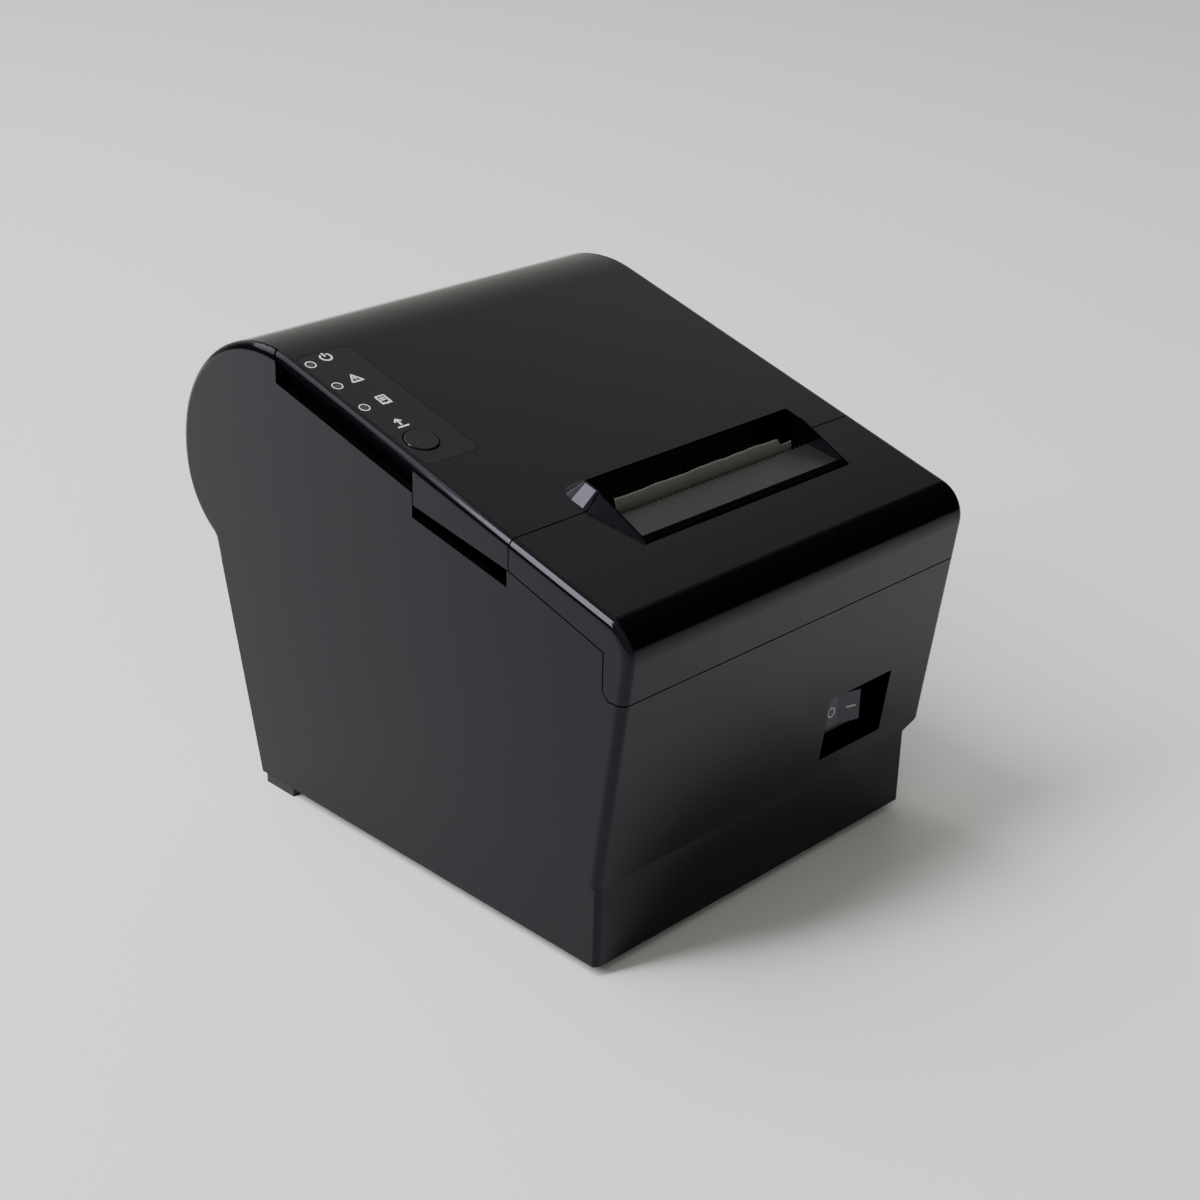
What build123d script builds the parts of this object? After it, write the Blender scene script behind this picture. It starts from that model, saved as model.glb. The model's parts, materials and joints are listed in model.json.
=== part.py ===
from build123d import *
import math
import os

# ---------------------------------------------------------------------------
# Desktop receipt printer, 80 mm paper, drop-in roll, automatic cutter.
# Frame: +Z up, front towards -Y, X to the right seen from the front.
# Origin: the middle of the overall footprint, on the surface it stands on.
# ---------------------------------------------------------------------------

# Outside of the body
HALF_WIDTH = 72.5            # half of the width across the casing
WALL = 2.5                   # thickness of every casing wall
SEAM = 0.4                   # gap between two covers
UNDERSIDE = 3.0              # height of the underside above the table
FRONT_LOW = -87.7            # front face below the bend
FRONT_BEND = 28.6            # height of the bend in the front face
FRONT_LEAN = 0.127           # forward lean of the front face above the bend
TOP_SLOPE = 0.27             # rise of the sloping top per mm towards the rear
TOP_HEIGHT = 135.88          # height of the sloping top at Y = 0
REAR_LOW = 65.0              # rear wall at the underside
REAR_LEAN = 0.228            # backward lean of the rear wall
BULGE_RADIUS = 42.5          # round rear of the lid, around the paper roll
BULGE_Y = 54.5               # centre of that round
LOWER_RADIUS = 29.0          # tighter round under it
EDGE = 2.7                   # rounding of the outer edges
NOSE = 10.5                  # rounding between the front face and the top
TOE = 3.0                    # rounding between the rear face and the underside
BASE_RIGHT = 64.2            # right wall of the lower body, under the ledge
CREASE_HEIGHT = 27.8         # ledge height at the front, it rises with the top

# Lid, its hinge and the cutter cover
HINGE_Y, HINGE_Z = 90.7, 99.4
BARREL = 5.6                 # outer radius of the lid's hinge barrel
PIN = 2.0                    # radius of the hinge pins
LID_FRONT = -51.5            # seam between lid and cutter cover
CHEEK_FRONT = 47.6           # front end of the side cheeks
LID_HALF = 69.6              # half width of the lid between the cheeks
COVER_LOW = 88.2             # lower seam of the cutter cover on the front
STRIP = 2.1                  # depth of the lid's side edge

# Paper path
PAPER_X = 5.0                # middle of the paper
PAPER_WIDTH = 79.5
PAPER_THICK = 0.25
ROLL_Y, ROLL_Z, ROLL_RADIUS = 30.0, 78.5, 38.0
WELL_Y, WELL_Z, WELL_RADIUS = 30.0, 84.0, 44.0
PLATEN_Y, PLATEN_Z, PLATEN_RADIUS = -43.5, 103.0, 6.0
EXIT_LEFT, EXIT_RIGHT = PAPER_X - 43.0, PAPER_X + 43.0
EXIT_REAR, EXIT_FRONT = -45.5, -68.0
COLLAR_HEIGHT, COLLAR_RIM = 4.3, 0.7
BLADE_Z = 110.0              # underside of the moving blade

# Gear train, one module throughout
MODULE = 0.65
PLATEN_TEETH, IDLER_TEETH, PINION_TEETH = 20, 28, 12
IDLER_Y, IDLER_Z = -49.0, 88.2
PINION_Y, PINION_Z = -53.0, 75.75
GEAR_X = -51.5               # left face of the gear train
CUTTER_PINION_TEETH, CUTTER_GEAR_TEETH, CUTTER_DRIVE_TEETH = 12, 28, 10
RACK_X = 46.6                # pitch line of the rack on the blade

# Control panel
PANEL_LEFT, PANEL_RIGHT = -69.4, -49.2
PANEL_FRONT, PANEL_REAR = -15.5, 43.0
BUTTON_X, BUTTON_Y, BUTTON_RADIUS = -62.4, -5.0, 5.1

# Power switch
SWITCH_X, SWITCH_Z = 35.2, 44.8
RECESS_X, RECESS_Z = (21.5, 50.5), (34.0, 55.5)
SWITCH_FACE = -82.5
ROCKER_Y, ROCKER_TILT = -80.5, -8.0     # pin of the rocker, and its tilt in degrees when off

SLOPE = math.atan(TOP_SLOPE)
PANEL_LENGTH = (PANEL_REAR - PANEL_FRONT) / math.cos(SLOPE)
PANEL_MIDDLE = ((PANEL_LEFT + PANEL_RIGHT) / 2, (PANEL_FRONT + PANEL_REAR) / 2 / math.cos(SLOPE))
BULGE_Z = TOP_HEIGHT + TOP_SLOPE * BULGE_Y - BULGE_RADIUS / math.cos(SLOPE)
BLEND = math.radians(-10)    # where the two rear rounds meet
LOWER_Y = BULGE_Y + (BULGE_RADIUS - LOWER_RADIUS) * math.cos(BLEND)
LOWER_Z = BULGE_Z + (BULGE_RADIUS - LOWER_RADIUS) * math.sin(BLEND)

os.makedirs("parts", exist_ok=True)


# ---------------------------------------------------------------------------
# Small tools
# ---------------------------------------------------------------------------

def top(y):
    """Height of the sloping top at depth y."""
    return TOP_HEIGHT + TOP_SLOPE * y


def front(z):
    """Y of the outer front face at height z."""
    return FRONT_LOW - FRONT_LEAN * max(0.0, z - FRONT_BEND)


def slope_plane(x, y, drop=0.0):
    """Plane on the sloping top at (x, y), lowered by drop along its normal."""
    origin = (x, y + drop * math.sin(SLOPE), top(y) - drop * math.cos(SLOPE))
    return Plane(origin=origin, x_dir=(1, 0, 0), z_dir=(0, -math.sin(SLOPE), math.cos(SLOPE)))


def block(xs, ys, zs, mode=Mode.ADD):
    """Box that spans the three ranges."""
    with Locations((sum(xs) / 2, sum(ys) / 2, sum(zs) / 2)):
        Box(xs[1] - xs[0], ys[1] - ys[0], zs[1] - zs[0], mode=mode)


def side_plate(points, xs, mode=Mode.ADD):
    """Plate with an outline in the YZ plane, spanning xs."""
    with BuildSketch(Plane.YZ.offset(xs[0])) as outline:
        with BuildLine():
            Polyline(*points, close=True)
        make_face()
    extrude(outline.sketch, amount=xs[1] - xs[0], mode=mode)


def rod_x(y, z, radius, xs, mode=Mode.ADD):
    """Rod along X."""
    with BuildSketch(Plane.YZ.offset(xs[0])) as disc:
        with Locations((y, z)):
            Circle(radius)
    extrude(disc.sketch, amount=xs[1] - xs[0], mode=mode)


def post(x, y, radius, zs, mode=Mode.ADD):
    """Upright rod."""
    with BuildSketch(Plane.XY.offset(zs[0])) as disc:
        with Locations((x, y)):
            Circle(radius)
    extrude(disc.sketch, amount=zs[1] - zs[0], mode=mode)


def gear_points(teeth, turn=0.0):
    """Outline of a spur gear with straight-sided teeth, around the origin."""
    pitch = MODULE * teeth / 2
    root, tip = pitch - 1.15 * MODULE, pitch + 0.95 * MODULE
    step = 2 * math.pi / teeth
    points = []
    for tooth in range(teeth):
        middle = tooth * step + turn
        for radius, share in ((root, -0.33), (tip, -0.13), (tip, 0.13), (root, 0.33)):
            angle = middle + share * step
            points.append((radius * math.cos(angle), radius * math.sin(angle)))
    return points


def gear(plane, teeth, thickness, turn=0.0):
    """Spur gear standing on plane, without its bore."""
    with BuildSketch(plane) as wheel:
        with BuildLine():
            Polyline(*gear_points(teeth, turn), close=True)
        make_face()
    extrude(wheel.sketch, amount=thickness)


def save(piece, name):
    """Label a finished piece and write it."""
    piece.part.label = name
    export_step(piece.part, f"parts/{name}.step")


def body_face(plane, inset=0.0):
    """Side outline of the whole body as a face on plane, shrunk by inset."""
    tangent = math.pi / 2 + SLOPE
    low = math.radians(-58)
    on_bulge = [
        (BULGE_Y + BULGE_RADIUS * math.cos(a), BULGE_Z + BULGE_RADIUS * math.sin(a))
        for a in (tangent, (tangent + BLEND) / 2, BLEND)
    ]
    on_lower = [
        (LOWER_Y + LOWER_RADIUS * math.cos(a), LOWER_Z + LOWER_RADIUS * math.sin(a))
        for a in (BLEND, (BLEND + low) / 2, low)
    ]
    nose_z = (TOP_HEIGHT + TOP_SLOPE * (FRONT_LOW + FRONT_LEAN * FRONT_BEND)) / (1 + TOP_SLOPE * FRONT_LEAN)
    nose = (front(nose_z), nose_z)
    with BuildSketch(plane) as outline:
        with BuildLine():
            Polyline(on_lower[2], (REAR_LOW, UNDERSIDE), (FRONT_LOW, UNDERSIDE),
                     (FRONT_LOW, FRONT_BEND), nose, on_bulge[0])
            ThreePointArc(*on_bulge)
            ThreePointArc(*on_lower)
        make_face()
        fillet(outline.vertices().sort_by_distance(nose)[0], NOSE)
        fillet(outline.vertices().sort_by_distance(on_lower[2])[0], TOE)
        if inset:
            offset(amount=-inset, kind=Kind.INTERSECTION)
    return outline.sketch


def ledge_prism(x_inner, x_outer, rise, mode):
    """Everything on one side below the sloping ledge, for cutting the lower body back."""
    start = -130.0
    height = CREASE_HEIGHT + TOP_SLOPE * (start - FRONT_LOW)
    points = ((x_inner, -90), (x_outer, -90), (x_outer, height + rise), (x_inner, height))
    with BuildSketch(Plane.XZ.offset(-start)) as section:
        with BuildLine():
            Polyline(*points, close=True)
        make_face()
    extrude(section.sketch, amount=290, dir=(0, math.cos(SLOPE), math.sin(SLOPE)), mode=mode)


# ---------------------------------------------------------------------------
# Whole outside and inside of the casing, from which the covers are cut
# ---------------------------------------------------------------------------

with BuildPart() as body:
    extrude(body_face(Plane.YZ.offset(-HALF_WIDTH)), amount=2 * HALF_WIDTH)
    for side in (Axis.X, -Axis.X):
        rim = body.faces().sort_by(side)[-1].edges()
        fillet(rim.sort_by(Axis.Z)[1:], EDGE)
    ledge_prism(BASE_RIGHT, BASE_RIGHT + 20, 8.0, Mode.SUBTRACT)
    ledge_prism(-HALF_WIDTH + 0.4, -HALF_WIDTH - 5, 0.0, Mode.SUBTRACT)

with BuildPart() as hollow:
    extrude(body_face(Plane.YZ.offset(-HALF_WIDTH + WALL), WALL), amount=2 * (HALF_WIDTH - WALL))
    ledge_prism(BASE_RIGHT - WALL, BASE_RIGHT + 20, 8.9, Mode.SUBTRACT)

with BuildPart() as shell:
    add(body.part)
    add(hollow.part, mode=Mode.SUBTRACT)

# Top of the side walls: seam of the cutter cover, finger slot, edge under the lid
WALL_TOP = [
    (-120, COVER_LOW), (-89.8, COVER_LOW), (-87.5, 90.6), (-87.5, 101.9), (-50.9, 113.0), (-50.9, 108.0),
    (-12.4, 116.2), (-12.4, top(-12.4) - 8.9), (CHEEK_FRONT, top(CHEEK_FRONT) - 9.1),
]
EAR_RADIUS = math.hypot(CHEEK_FRONT - 1.1 - HINGE_Y, top(CHEEK_FRONT - 1.1) - STRIP - HINGE_Z)


def make_housing():
    """Outer case: both side walls with their cheeks, front wall, rear wall."""
    with BuildPart() as housing:
        add(shell.part)
        # open the bottom for the base plate
        block((-HALF_WIDTH + WALL, BASE_RIGHT - WALL), (FRONT_LOW + WALL, REAR_LOW - 2.0), (0, 10),
              mode=Mode.SUBTRACT)
        # room for lid and cutter cover
        side_plate(WALL_TOP + [(CHEEK_FRONT, 170), (-120, 170)], (-90, 90), mode=Mode.SUBTRACT)
        block((-70, 70), (-120, 120), (95.6, 170), mode=Mode.SUBTRACT)
        with BuildSketch(Plane.YZ.offset(-90)):
            # slanted front end of the cheeks, concentric with the hinge
            with Locations((CHEEK_FRONT + 10, 160)):
                Rectangle(20, 60)
            with Locations((HINGE_Y, HINGE_Z)):
                Circle(EAR_RADIUS - SEAM, mode=Mode.SUBTRACT)
        extrude(amount=180, mode=Mode.SUBTRACT)
        rod_x(HINGE_Y, HINGE_Z, BARREL + 1.2, (-70, 70), mode=Mode.SUBTRACT)
        # holes of the hinge pins
        rod_x(HINGE_Y, HINGE_Z, PIN, (-HALF_WIDTH + 0.8, HALF_WIDTH - 0.8), mode=Mode.SUBTRACT)
        # recess of the power switch
        low, high = RECESS_Z[0] - 2, RECESS_Z[1] + 2
        side_plate([(front(low) + 1, low), (-79, low), (-79, high), (front(high) + 1, high)],
                   (RECESS_X[0] - 2, RECESS_X[1] + 2))
        block(RECESS_X, (-110, -81), RECESS_Z, mode=Mode.SUBTRACT)
        block((SWITCH_X - 9.8, SWITCH_X + 9.8), (-90, -70), (SWITCH_Z - 6.7, SWITCH_Z + 6.7),
              mode=Mode.SUBTRACT)
        # windows of the sockets in the rear wall
        for x, width, bottom, height in SOCKETS.values():
            block((x - width / 2 - 0.3, x + width / 2 + 0.3), (60, 80), (bottom - 0.3, bottom + height + 0.3),
                  mode=Mode.SUBTRACT)
    save(housing, "housing")


# name: middle X, width, underside, height
SOCKETS = {
    "power_socket": (-50.0, 14.0, 14.6, 12.0),
    "drawer_socket": (-25.0, 13.5, 14.6, 12.5),
    "usb_socket": (0.0, 12.0, 14.6, 11.0),
    "network_socket": (25.0, 16.0, 14.6, 13.5),
}
SOCKET_FACE = 68.0


def lid_pocket_walls():
    """Walls and floor of the lid's half of the paper exit, still solid."""
    xs = (EXIT_LEFT - 2.0, EXIT_RIGHT + 2.0)
    side_plate([(LID_FRONT + 0.2, 114.4), (EXIT_REAR + 2.0, 114.4), (EXIT_REAR + 2.0, top(-43) - 1.0),
                (LID_FRONT + 0.2, top(-51) - 1.0)], xs)


def collar(part_front, part_rear):
    """Raised collar around the paper exit between two Y limits.

    Its outer sides slant at 45 degrees from the sloping top up to a narrow rim, and run together
    with the exit's sides at the front, where the collar dies into the top.
    """
    sunk = 1.2
    rear, shoulder, nose = -38.6 / math.cos(SLOPE), -50.0 / math.cos(SLOPE), -71.4 / math.cos(SLOPE)
    wide, narrow = COLLAR_HEIGHT + COLLAR_RIM + sunk, COLLAR_RIM + sunk + 0.3
    with BuildPart() as ring:
        with BuildSketch(slope_plane(0, 0, sunk)) as foot:
            with BuildLine():
                Polyline((EXIT_LEFT - narrow, nose), (EXIT_RIGHT + narrow, nose),
                         (EXIT_RIGHT + wide, shoulder), (EXIT_RIGHT + wide, rear),
                         (EXIT_LEFT - wide, rear), (EXIT_LEFT - wide, shoulder), close=True)
            make_face()
            fillet(foot.vertices().sort_by(Axis.Y)[-2:], 7.0)
        extrude(foot.sketch, amount=COLLAR_HEIGHT + sunk, taper=45)
        side_plate([(-30, 90), (-30, 150), (-52.0, top(-52.0) + COLLAR_HEIGHT), (-70.8, top(-70.8) + 0.4),
                    (-90, top(-90) - 4.0), (-90, 90)], (-90, 90), mode=Mode.INTERSECT)
        block((EXIT_LEFT, EXIT_RIGHT), (EXIT_FRONT, EXIT_REAR), (90, 150), mode=Mode.SUBTRACT)
        block((-90, 90), (part_front, part_rear), (90, 150), mode=Mode.INTERSECT)
    return ring.part


def make_top_cover():
    """Rear-hinged lid with its side edges, finger tabs, hinge barrel and exit collar."""
    rear_collar = collar(LID_FRONT + 0.2, -30)
    strip_rear = 60.0
    edge_zone = [(LID_FRONT + 0.2, 113.1), (-12.8, 120.0), (-12.8, top(-12.8) - STRIP),
                 (strip_rear, top(strip_rear) - STRIP), (strip_rear, 170), (LID_FRONT + 0.2, 170)]
    with BuildPart() as edge:
        side_plate(edge_zone, (-90, 90))
        rod_x(HINGE_Y, HINGE_Z, EAR_RADIUS, (-90, 90), mode=Mode.SUBTRACT)
    with BuildPart() as lid:
        block((-LID_HALF, LID_HALF), (LID_FRONT + 0.2, 120), (HINGE_Z, 170))
        add(edge.part)
        add(shell.part, mode=Mode.INTERSECT)
        rod_x(HINGE_Y, HINGE_Z, BARREL, (-LID_HALF, LID_HALF))
        for side in (-1, 1):
            # skirt behind the gap under the lid's edge, and the finger pockets' inner wall
            side_plate([(-12.0, top(-12) - 1.5), (-12.0, top(-12) - 14.0), (55.0, top(55) - 16.0),
                        (55.0, top(45) - 1.5), (42.0, top(42) - 1.5)], sorted((side * 66.5, side * 68.5)))
            side_plate([(-49.0, top(-49) - 1.5), (-49.0, top(-49) - 14.0), (-17.5, top(-17.5) - 14.0),
                        (-17.5, top(-17.5) - 1.5)], sorted((side * 59.0, side * 60.5)))
        add(rear_collar)
        lid_pocket_walls()
        # open the exit down to its floor
        block((EXIT_LEFT, EXIT_RIGHT), (-60, EXIT_REAR), (116.0, 150), mode=Mode.SUBTRACT)
        # seat of the control panel, button hole, light pipe holes
        with BuildSketch(slope_plane(0, 0, 0.8)):
            with Locations(PANEL_MIDDLE):
                RectangleRounded(PANEL_RIGHT - PANEL_LEFT, PANEL_LENGTH, 3.0)
        extrude(amount=5, mode=Mode.SUBTRACT)
        with BuildSketch(slope_plane(BUTTON_X, BUTTON_Y, 8)):
            Circle(BUTTON_RADIUS + 0.35)
        extrude(amount=12, mode=Mode.SUBTRACT)
        for y in LED_ROWS:
            with BuildSketch(slope_plane(LED_X, y, 8)):
                Circle(1.0)
            extrude(amount=12, mode=Mode.SUBTRACT)
        # bores of the hinge pins
        for xs in ((-90, -LID_HALF + 12), (LID_HALF - 12, 90)):
            rod_x(HINGE_Y, HINGE_Z, PIN + 0.06, xs, mode=Mode.SUBTRACT)
    save(lid, "top_cover")


LED_X = -66.6
LED_ROWS = (38.5, 26.5, 14.5)


def make_hinge_pins():
    """Two steel pins, pressed into the cheeks."""
    with BuildPart() as pins:
        rod_x(HINGE_Y, HINGE_Z, PIN, (-HALF_WIDTH + 0.8, -LID_HALF + 10))
        rod_x(HINGE_Y, HINGE_Z, PIN, (LID_HALF - 10, HALF_WIDTH - 0.8))
    save(pins, "hinge_pins")


def make_front_cover():
    """Cutter cover: front of the sloping top, upper front face and side skirts. It slides forward."""
    zone = [(-120, COVER_LOW + SEAM), (-90.0, COVER_LOW + SEAM), (-87.9, 90.6), (-87.9, 102.2),
            (LID_FRONT - 0.2, 113.2), (LID_FRONT - 0.2, 170), (-120, 170)]
    front_collar = collar(-90, LID_FRONT - 0.2)
    with BuildPart() as cover:
        side_plate(zone, (-90, 90))
        add(shell.part, mode=Mode.INTERSECT)
        add(front_collar)
        block((EXIT_LEFT, EXIT_RIGHT), (EXIT_FRONT, -40), (100, 150), mode=Mode.SUBTRACT)
        # rails that carry the tear bar on both sides of the exit
        for xs in ((EXIT_LEFT - 2.0, EXIT_LEFT), (EXIT_RIGHT, EXIT_RIGHT + 2.0)):
            side_plate([(EXIT_FRONT, 113.6), (LID_FRONT - 0.2, 113.6), (LID_FRONT - 0.2, top(-52) - 1.0),
                        (EXIT_FRONT, top(-68) - 1.0)], xs)
    save(cover, "front_cover")


def make_tear_bar():
    """Sloping plate in front of the paper, with a fine-toothed rear edge, carried by the cutter cover."""
    teeth = 40
    pitch = (EXIT_RIGHT - EXIT_LEFT - 0.2) / teeth
    edge = []
    for tooth in range(teeth):
        left = EXIT_LEFT + 0.1 + tooth * pitch
        edge += [(left, -55.0), (left + pitch / 2, -54.2)]
    edge.append((EXIT_RIGHT - 0.1, -55.0))
    with BuildPart() as bar:
        with BuildSketch(Plane.XY.offset(113.6)):
            with BuildLine():
                Polyline(*edge, (EXIT_RIGHT - 0.1, EXIT_FRONT), (EXIT_LEFT + 0.1, EXIT_FRONT), close=True)
            make_face()
        extrude(amount=6)
        side_plate([(-40, 121.3), (EXIT_FRONT - 1, 117.2), (EXIT_FRONT - 1, 130), (-40, 130)],
                   (-60, 70), mode=Mode.SUBTRACT)
    save(bar, "tear_bar")


def make_base_plate():
    """Bottom chassis with posts for the circuit board, the paper well and the print mechanism."""
    with BuildPart() as base:
        block((-69.8, BASE_RIGHT - WALL - 0.2), (FRONT_LOW + WALL + 0.2, REAR_LOW - 2.2), (UNDERSIDE, 5.6))
        for x in (-31.0, 41.0):
            for y in (-53.0, -37.5):
                post(x, y, 4.0, (5.6, 58.0))
        for x in (PAPER_X - 44.0, PAPER_X + 44.0):
            for y in (8.0, 50.0):
                post(x, y, 3.2, (5.6, 40.0))
        for x in (-58.0, 55.0):
            for y in (-8.0, 44.0):
                post(x, y, 3.0, (5.6, 13.0))
        for x, y in BASE_SCREWS:
            post(x, y, 1.6, (0, 5.6), mode=Mode.SUBTRACT)
    save(base, "base_plate")


BASE_SCREWS = [(-60, -76), (52, -76), (-60, 34), (52, 34)]


def make_fasteners():
    """Identical screws, in groups."""
    with BuildPart() as low:
        for x, y in BASE_SCREWS:
            post(x, y, 1.5, (UNDERSIDE - 0.0, 12.0))
            post(x, y, 2.9, (UNDERSIDE - 1.6, UNDERSIDE))
    save(low, "base_screws")
    with BuildPart() as small:
        for x in (-58.0, 55.0):
            for y in (-8.0, 44.0):
                post(x, y, 2.6, (14.6, 16.4))
    save(small, "board_screws")
    with BuildPart() as motor_fix:
        for y, z in MOTOR_EARS:
            rod_x(y, z, 2.2, (-41.1, -39.7))
    save(motor_fix, "motor_screws")


MOTOR_EARS = [(PINION_Y - 17.0, PINION_Z), (PINION_Y + 17.0, PINION_Z)]


def make_feet():
    """Four rubber pads under the corners."""
    with BuildPart() as feet:
        for xs in ((-72.0, -60.0), (51.5, 63.5)):
            for ys in ((48.0, 61.5), (-76.0, -64.0)):
                x_in = (xs[0] + 4.5, xs[1] + 4.5) if ys[0] < 0 and xs[0] < 0 else xs
                block(x_in, ys, (0, UNDERSIDE))
        for x, y in BASE_SCREWS:
            post(x, y, 3.3, (-1, UNDERSIDE), mode=Mode.SUBTRACT)
    save(feet, "rubber_feet")


def web_line():
    """Lower tangent from the roll to the platen: points on the roll and the platen, and the turn angle."""
    radius = PLATEN_RADIUS + PAPER_THICK + 0.05
    dy, dz = PLATEN_Y - ROLL_Y, PLATEN_Z - ROLL_Z
    along = math.atan2(dz, dy) - math.asin((ROLL_RADIUS + 0.35 - radius) / math.hypot(dy, dz))
    normal = along + math.pi / 2
    reach = ROLL_RADIUS + 0.35
    roll = (ROLL_Y + reach * math.cos(normal), ROLL_Z + reach * math.sin(normal))
    platen = (PLATEN_Y + radius * math.cos(normal), PLATEN_Z + radius * math.sin(normal))
    return roll, platen, normal


def make_paper():
    """Paper roll with its cardboard core, the web up to the print line, and the printed end."""
    half = PAPER_WIDTH / 2
    with BuildPart() as roll:
        rod_x(ROLL_Y, ROLL_Z, ROLL_RADIUS, (PAPER_X - half, PAPER_X + half))
        rod_x(ROLL_Y, ROLL_Z, 8.5, (-100, 100), mode=Mode.SUBTRACT)
    save(roll, "paper_roll")
    with BuildPart() as core:
        rod_x(ROLL_Y, ROLL_Z, 8.5, (PAPER_X - half, PAPER_X + half))
        rod_x(ROLL_Y, ROLL_Z, 6.5, (-100, 100), mode=Mode.SUBTRACT)
    save(core, "roll_core")
    start, end, normal = web_line()
    radius = PLATEN_RADIUS + PAPER_THICK + 0.05
    middle = (normal + math.pi) / 2
    front_point = (PLATEN_Y - radius, PLATEN_Z)
    with BuildPart() as web:
        with BuildSketch(Plane.YZ.offset(PAPER_X - half)):
            with BuildLine() as path:
                Line(start, end)
                ThreePointArc(end, (PLATEN_Y + radius * math.cos(middle),
                                    PLATEN_Z + radius * math.sin(middle)), front_point)
                Polyline(front_point, (front_point[0], HEAD_TOP + 0.2), (front_point[0] - 0.8, BLADE_Z - 0.4))
                offset(amount=PAPER_THICK, side=Side.LEFT)
            make_face()
        extrude(amount=PAPER_WIDTH)
    save(web, "paper_web")
    with BuildPart() as stub:
        side_plate([(-51.5, BLADE_Z + 1.4), (-52.9, 118.5), (-51.2, 123.6), (-51.45, 123.7),
                    (-53.15, 118.5), (-51.75, BLADE_Z + 1.4)], (PAPER_X - half + 2.2, PAPER_X + half - 2.2))
    save(stub, "receipt_end")


def make_paper_well():
    """Drop-in cradle of the roll with end walls and the ramp that leads the paper up to the platen."""
    start = math.radians(223)
    lip = (WELL_Y + WELL_RADIUS * math.cos(start), WELL_Z + WELL_RADIUS * math.sin(start))
    under = (WELL_Y + (WELL_RADIUS + 2) * math.cos(start), WELL_Z + (WELL_RADIUS + 2) * math.sin(start))
    roll, platen, normal = web_line()
    rise = (platen[1] - roll[1]) / (platen[0] - roll[0])
    ramp_end = -33.5
    inner = (PAPER_X - 42.0, PAPER_X + 42.0)
    with BuildPart() as well:
        with BuildSketch(Plane.YZ.offset(inner[0] - 2)):
            with BuildLine():
                ThreePointArc(lip, (WELL_Y, WELL_Z - WELL_RADIUS), (WELL_Y + WELL_RADIUS, WELL_Z))
                Polyline((WELL_Y + WELL_RADIUS, WELL_Z), (WELL_Y + WELL_RADIUS, 108.0),
                         (WELL_Y + WELL_RADIUS + 2, 108.0), (WELL_Y + WELL_RADIUS + 2, WELL_Z))
                ThreePointArc((WELL_Y + WELL_RADIUS + 2, WELL_Z), (WELL_Y, WELL_Z - WELL_RADIUS - 2), under)
                Polyline(under, (ramp_end, under[1] + rise * (ramp_end - under[0]) - 0.8),
                         (ramp_end, lip[1] + rise * (ramp_end - lip[0])), lip)
            make_face()
        extrude(amount=inner[1] - inner[0] + 4)
        # end walls
        wall = [(WELL_Y - 20, 40.0), (WELL_Y + 22, 40.0), (WELL_Y + WELL_RADIUS, 62.0),
                (WELL_Y + WELL_RADIUS, 108.0), (WELL_Y + 20, 122.0), (WELL_Y - 15, 118.0),
                (ramp_end + 8, 96.0), (ramp_end, 86.0), (ramp_end, 82.0), under, (WELL_Y - 26, 44.0)]
        side_plate(wall, (inner[0] - 2, inner[0]))
        side_plate(wall, (inner[1], inner[1] + 2))
    save(well, "paper_well")


PLATE_LEFT, PLATE_RIGHT = (-39.7, -38.5), (48.5, 49.7)


def make_mechanism():
    """Sheet-metal frame of the print mechanism."""
    notch = 4.2
    outline = [(-62.0, 58.0), (-34.0, 58.0), (-34.0, 80.0), (-37.0, 100.0), (-37.0, 108.0),
               (PLATEN_Y + notch, 108.0), (PLATEN_Y + notch, PLATEN_Z - 4.3),
               (PLATEN_Y - notch, PLATEN_Z - 4.3),
               (PLATEN_Y - notch, 108.0), (-57.0, 106.6), (-58.6, 106.6), (-58.6, 101.0), (-62.0, 96.0)]
    with BuildPart() as frame:
        for xs in (PLATE_LEFT, PLATE_RIGHT):
            side_plate(outline, xs)
        block((PLATE_LEFT[1], PLATE_RIGHT[0]), (-62.0, -60.8), (58.0, 96.0))
        block((PLATE_LEFT[1], -18.5), (-63.0, -60.0), (61.0, 90.0), mode=Mode.SUBTRACT)
        block((PLATE_LEFT[1], PLATE_RIGHT[0]), (-62.0, -34.0), (58.0, 59.2))
        # hole of the motor boss and pin of the idler gear
        rod_x(PINION_Y, PINION_Z, 4.0, (-45, -38.4), mode=Mode.SUBTRACT)
        rod_x(IDLER_Y, IDLER_Z, 1.5, (GEAR_X - 0.8, PLATE_LEFT[0]))
        rod_x(IDLER_Y, IDLER_Z, 2.2, (GEAR_X - 1.6, GEAR_X - 0.7))
        # lugs that carry the cutter base
        for xs in ((-46.0, PLATE_LEFT[0]), (PLATE_RIGHT[1], 53.5)):
            block(xs, (-58.6, -56.6), (105.6, 106.6))
        # hole of the head's pivot pin
        rod_x(HEAD_Y, HEAD_Z, 1.5, (-60, 70), mode=Mode.SUBTRACT)
    save(frame, "mechanism_frame")


HEAD_Y, HEAD_Z = -53.6, 93.6     # pivot of the thermal head
HEAD_TOP = 106.6


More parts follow.
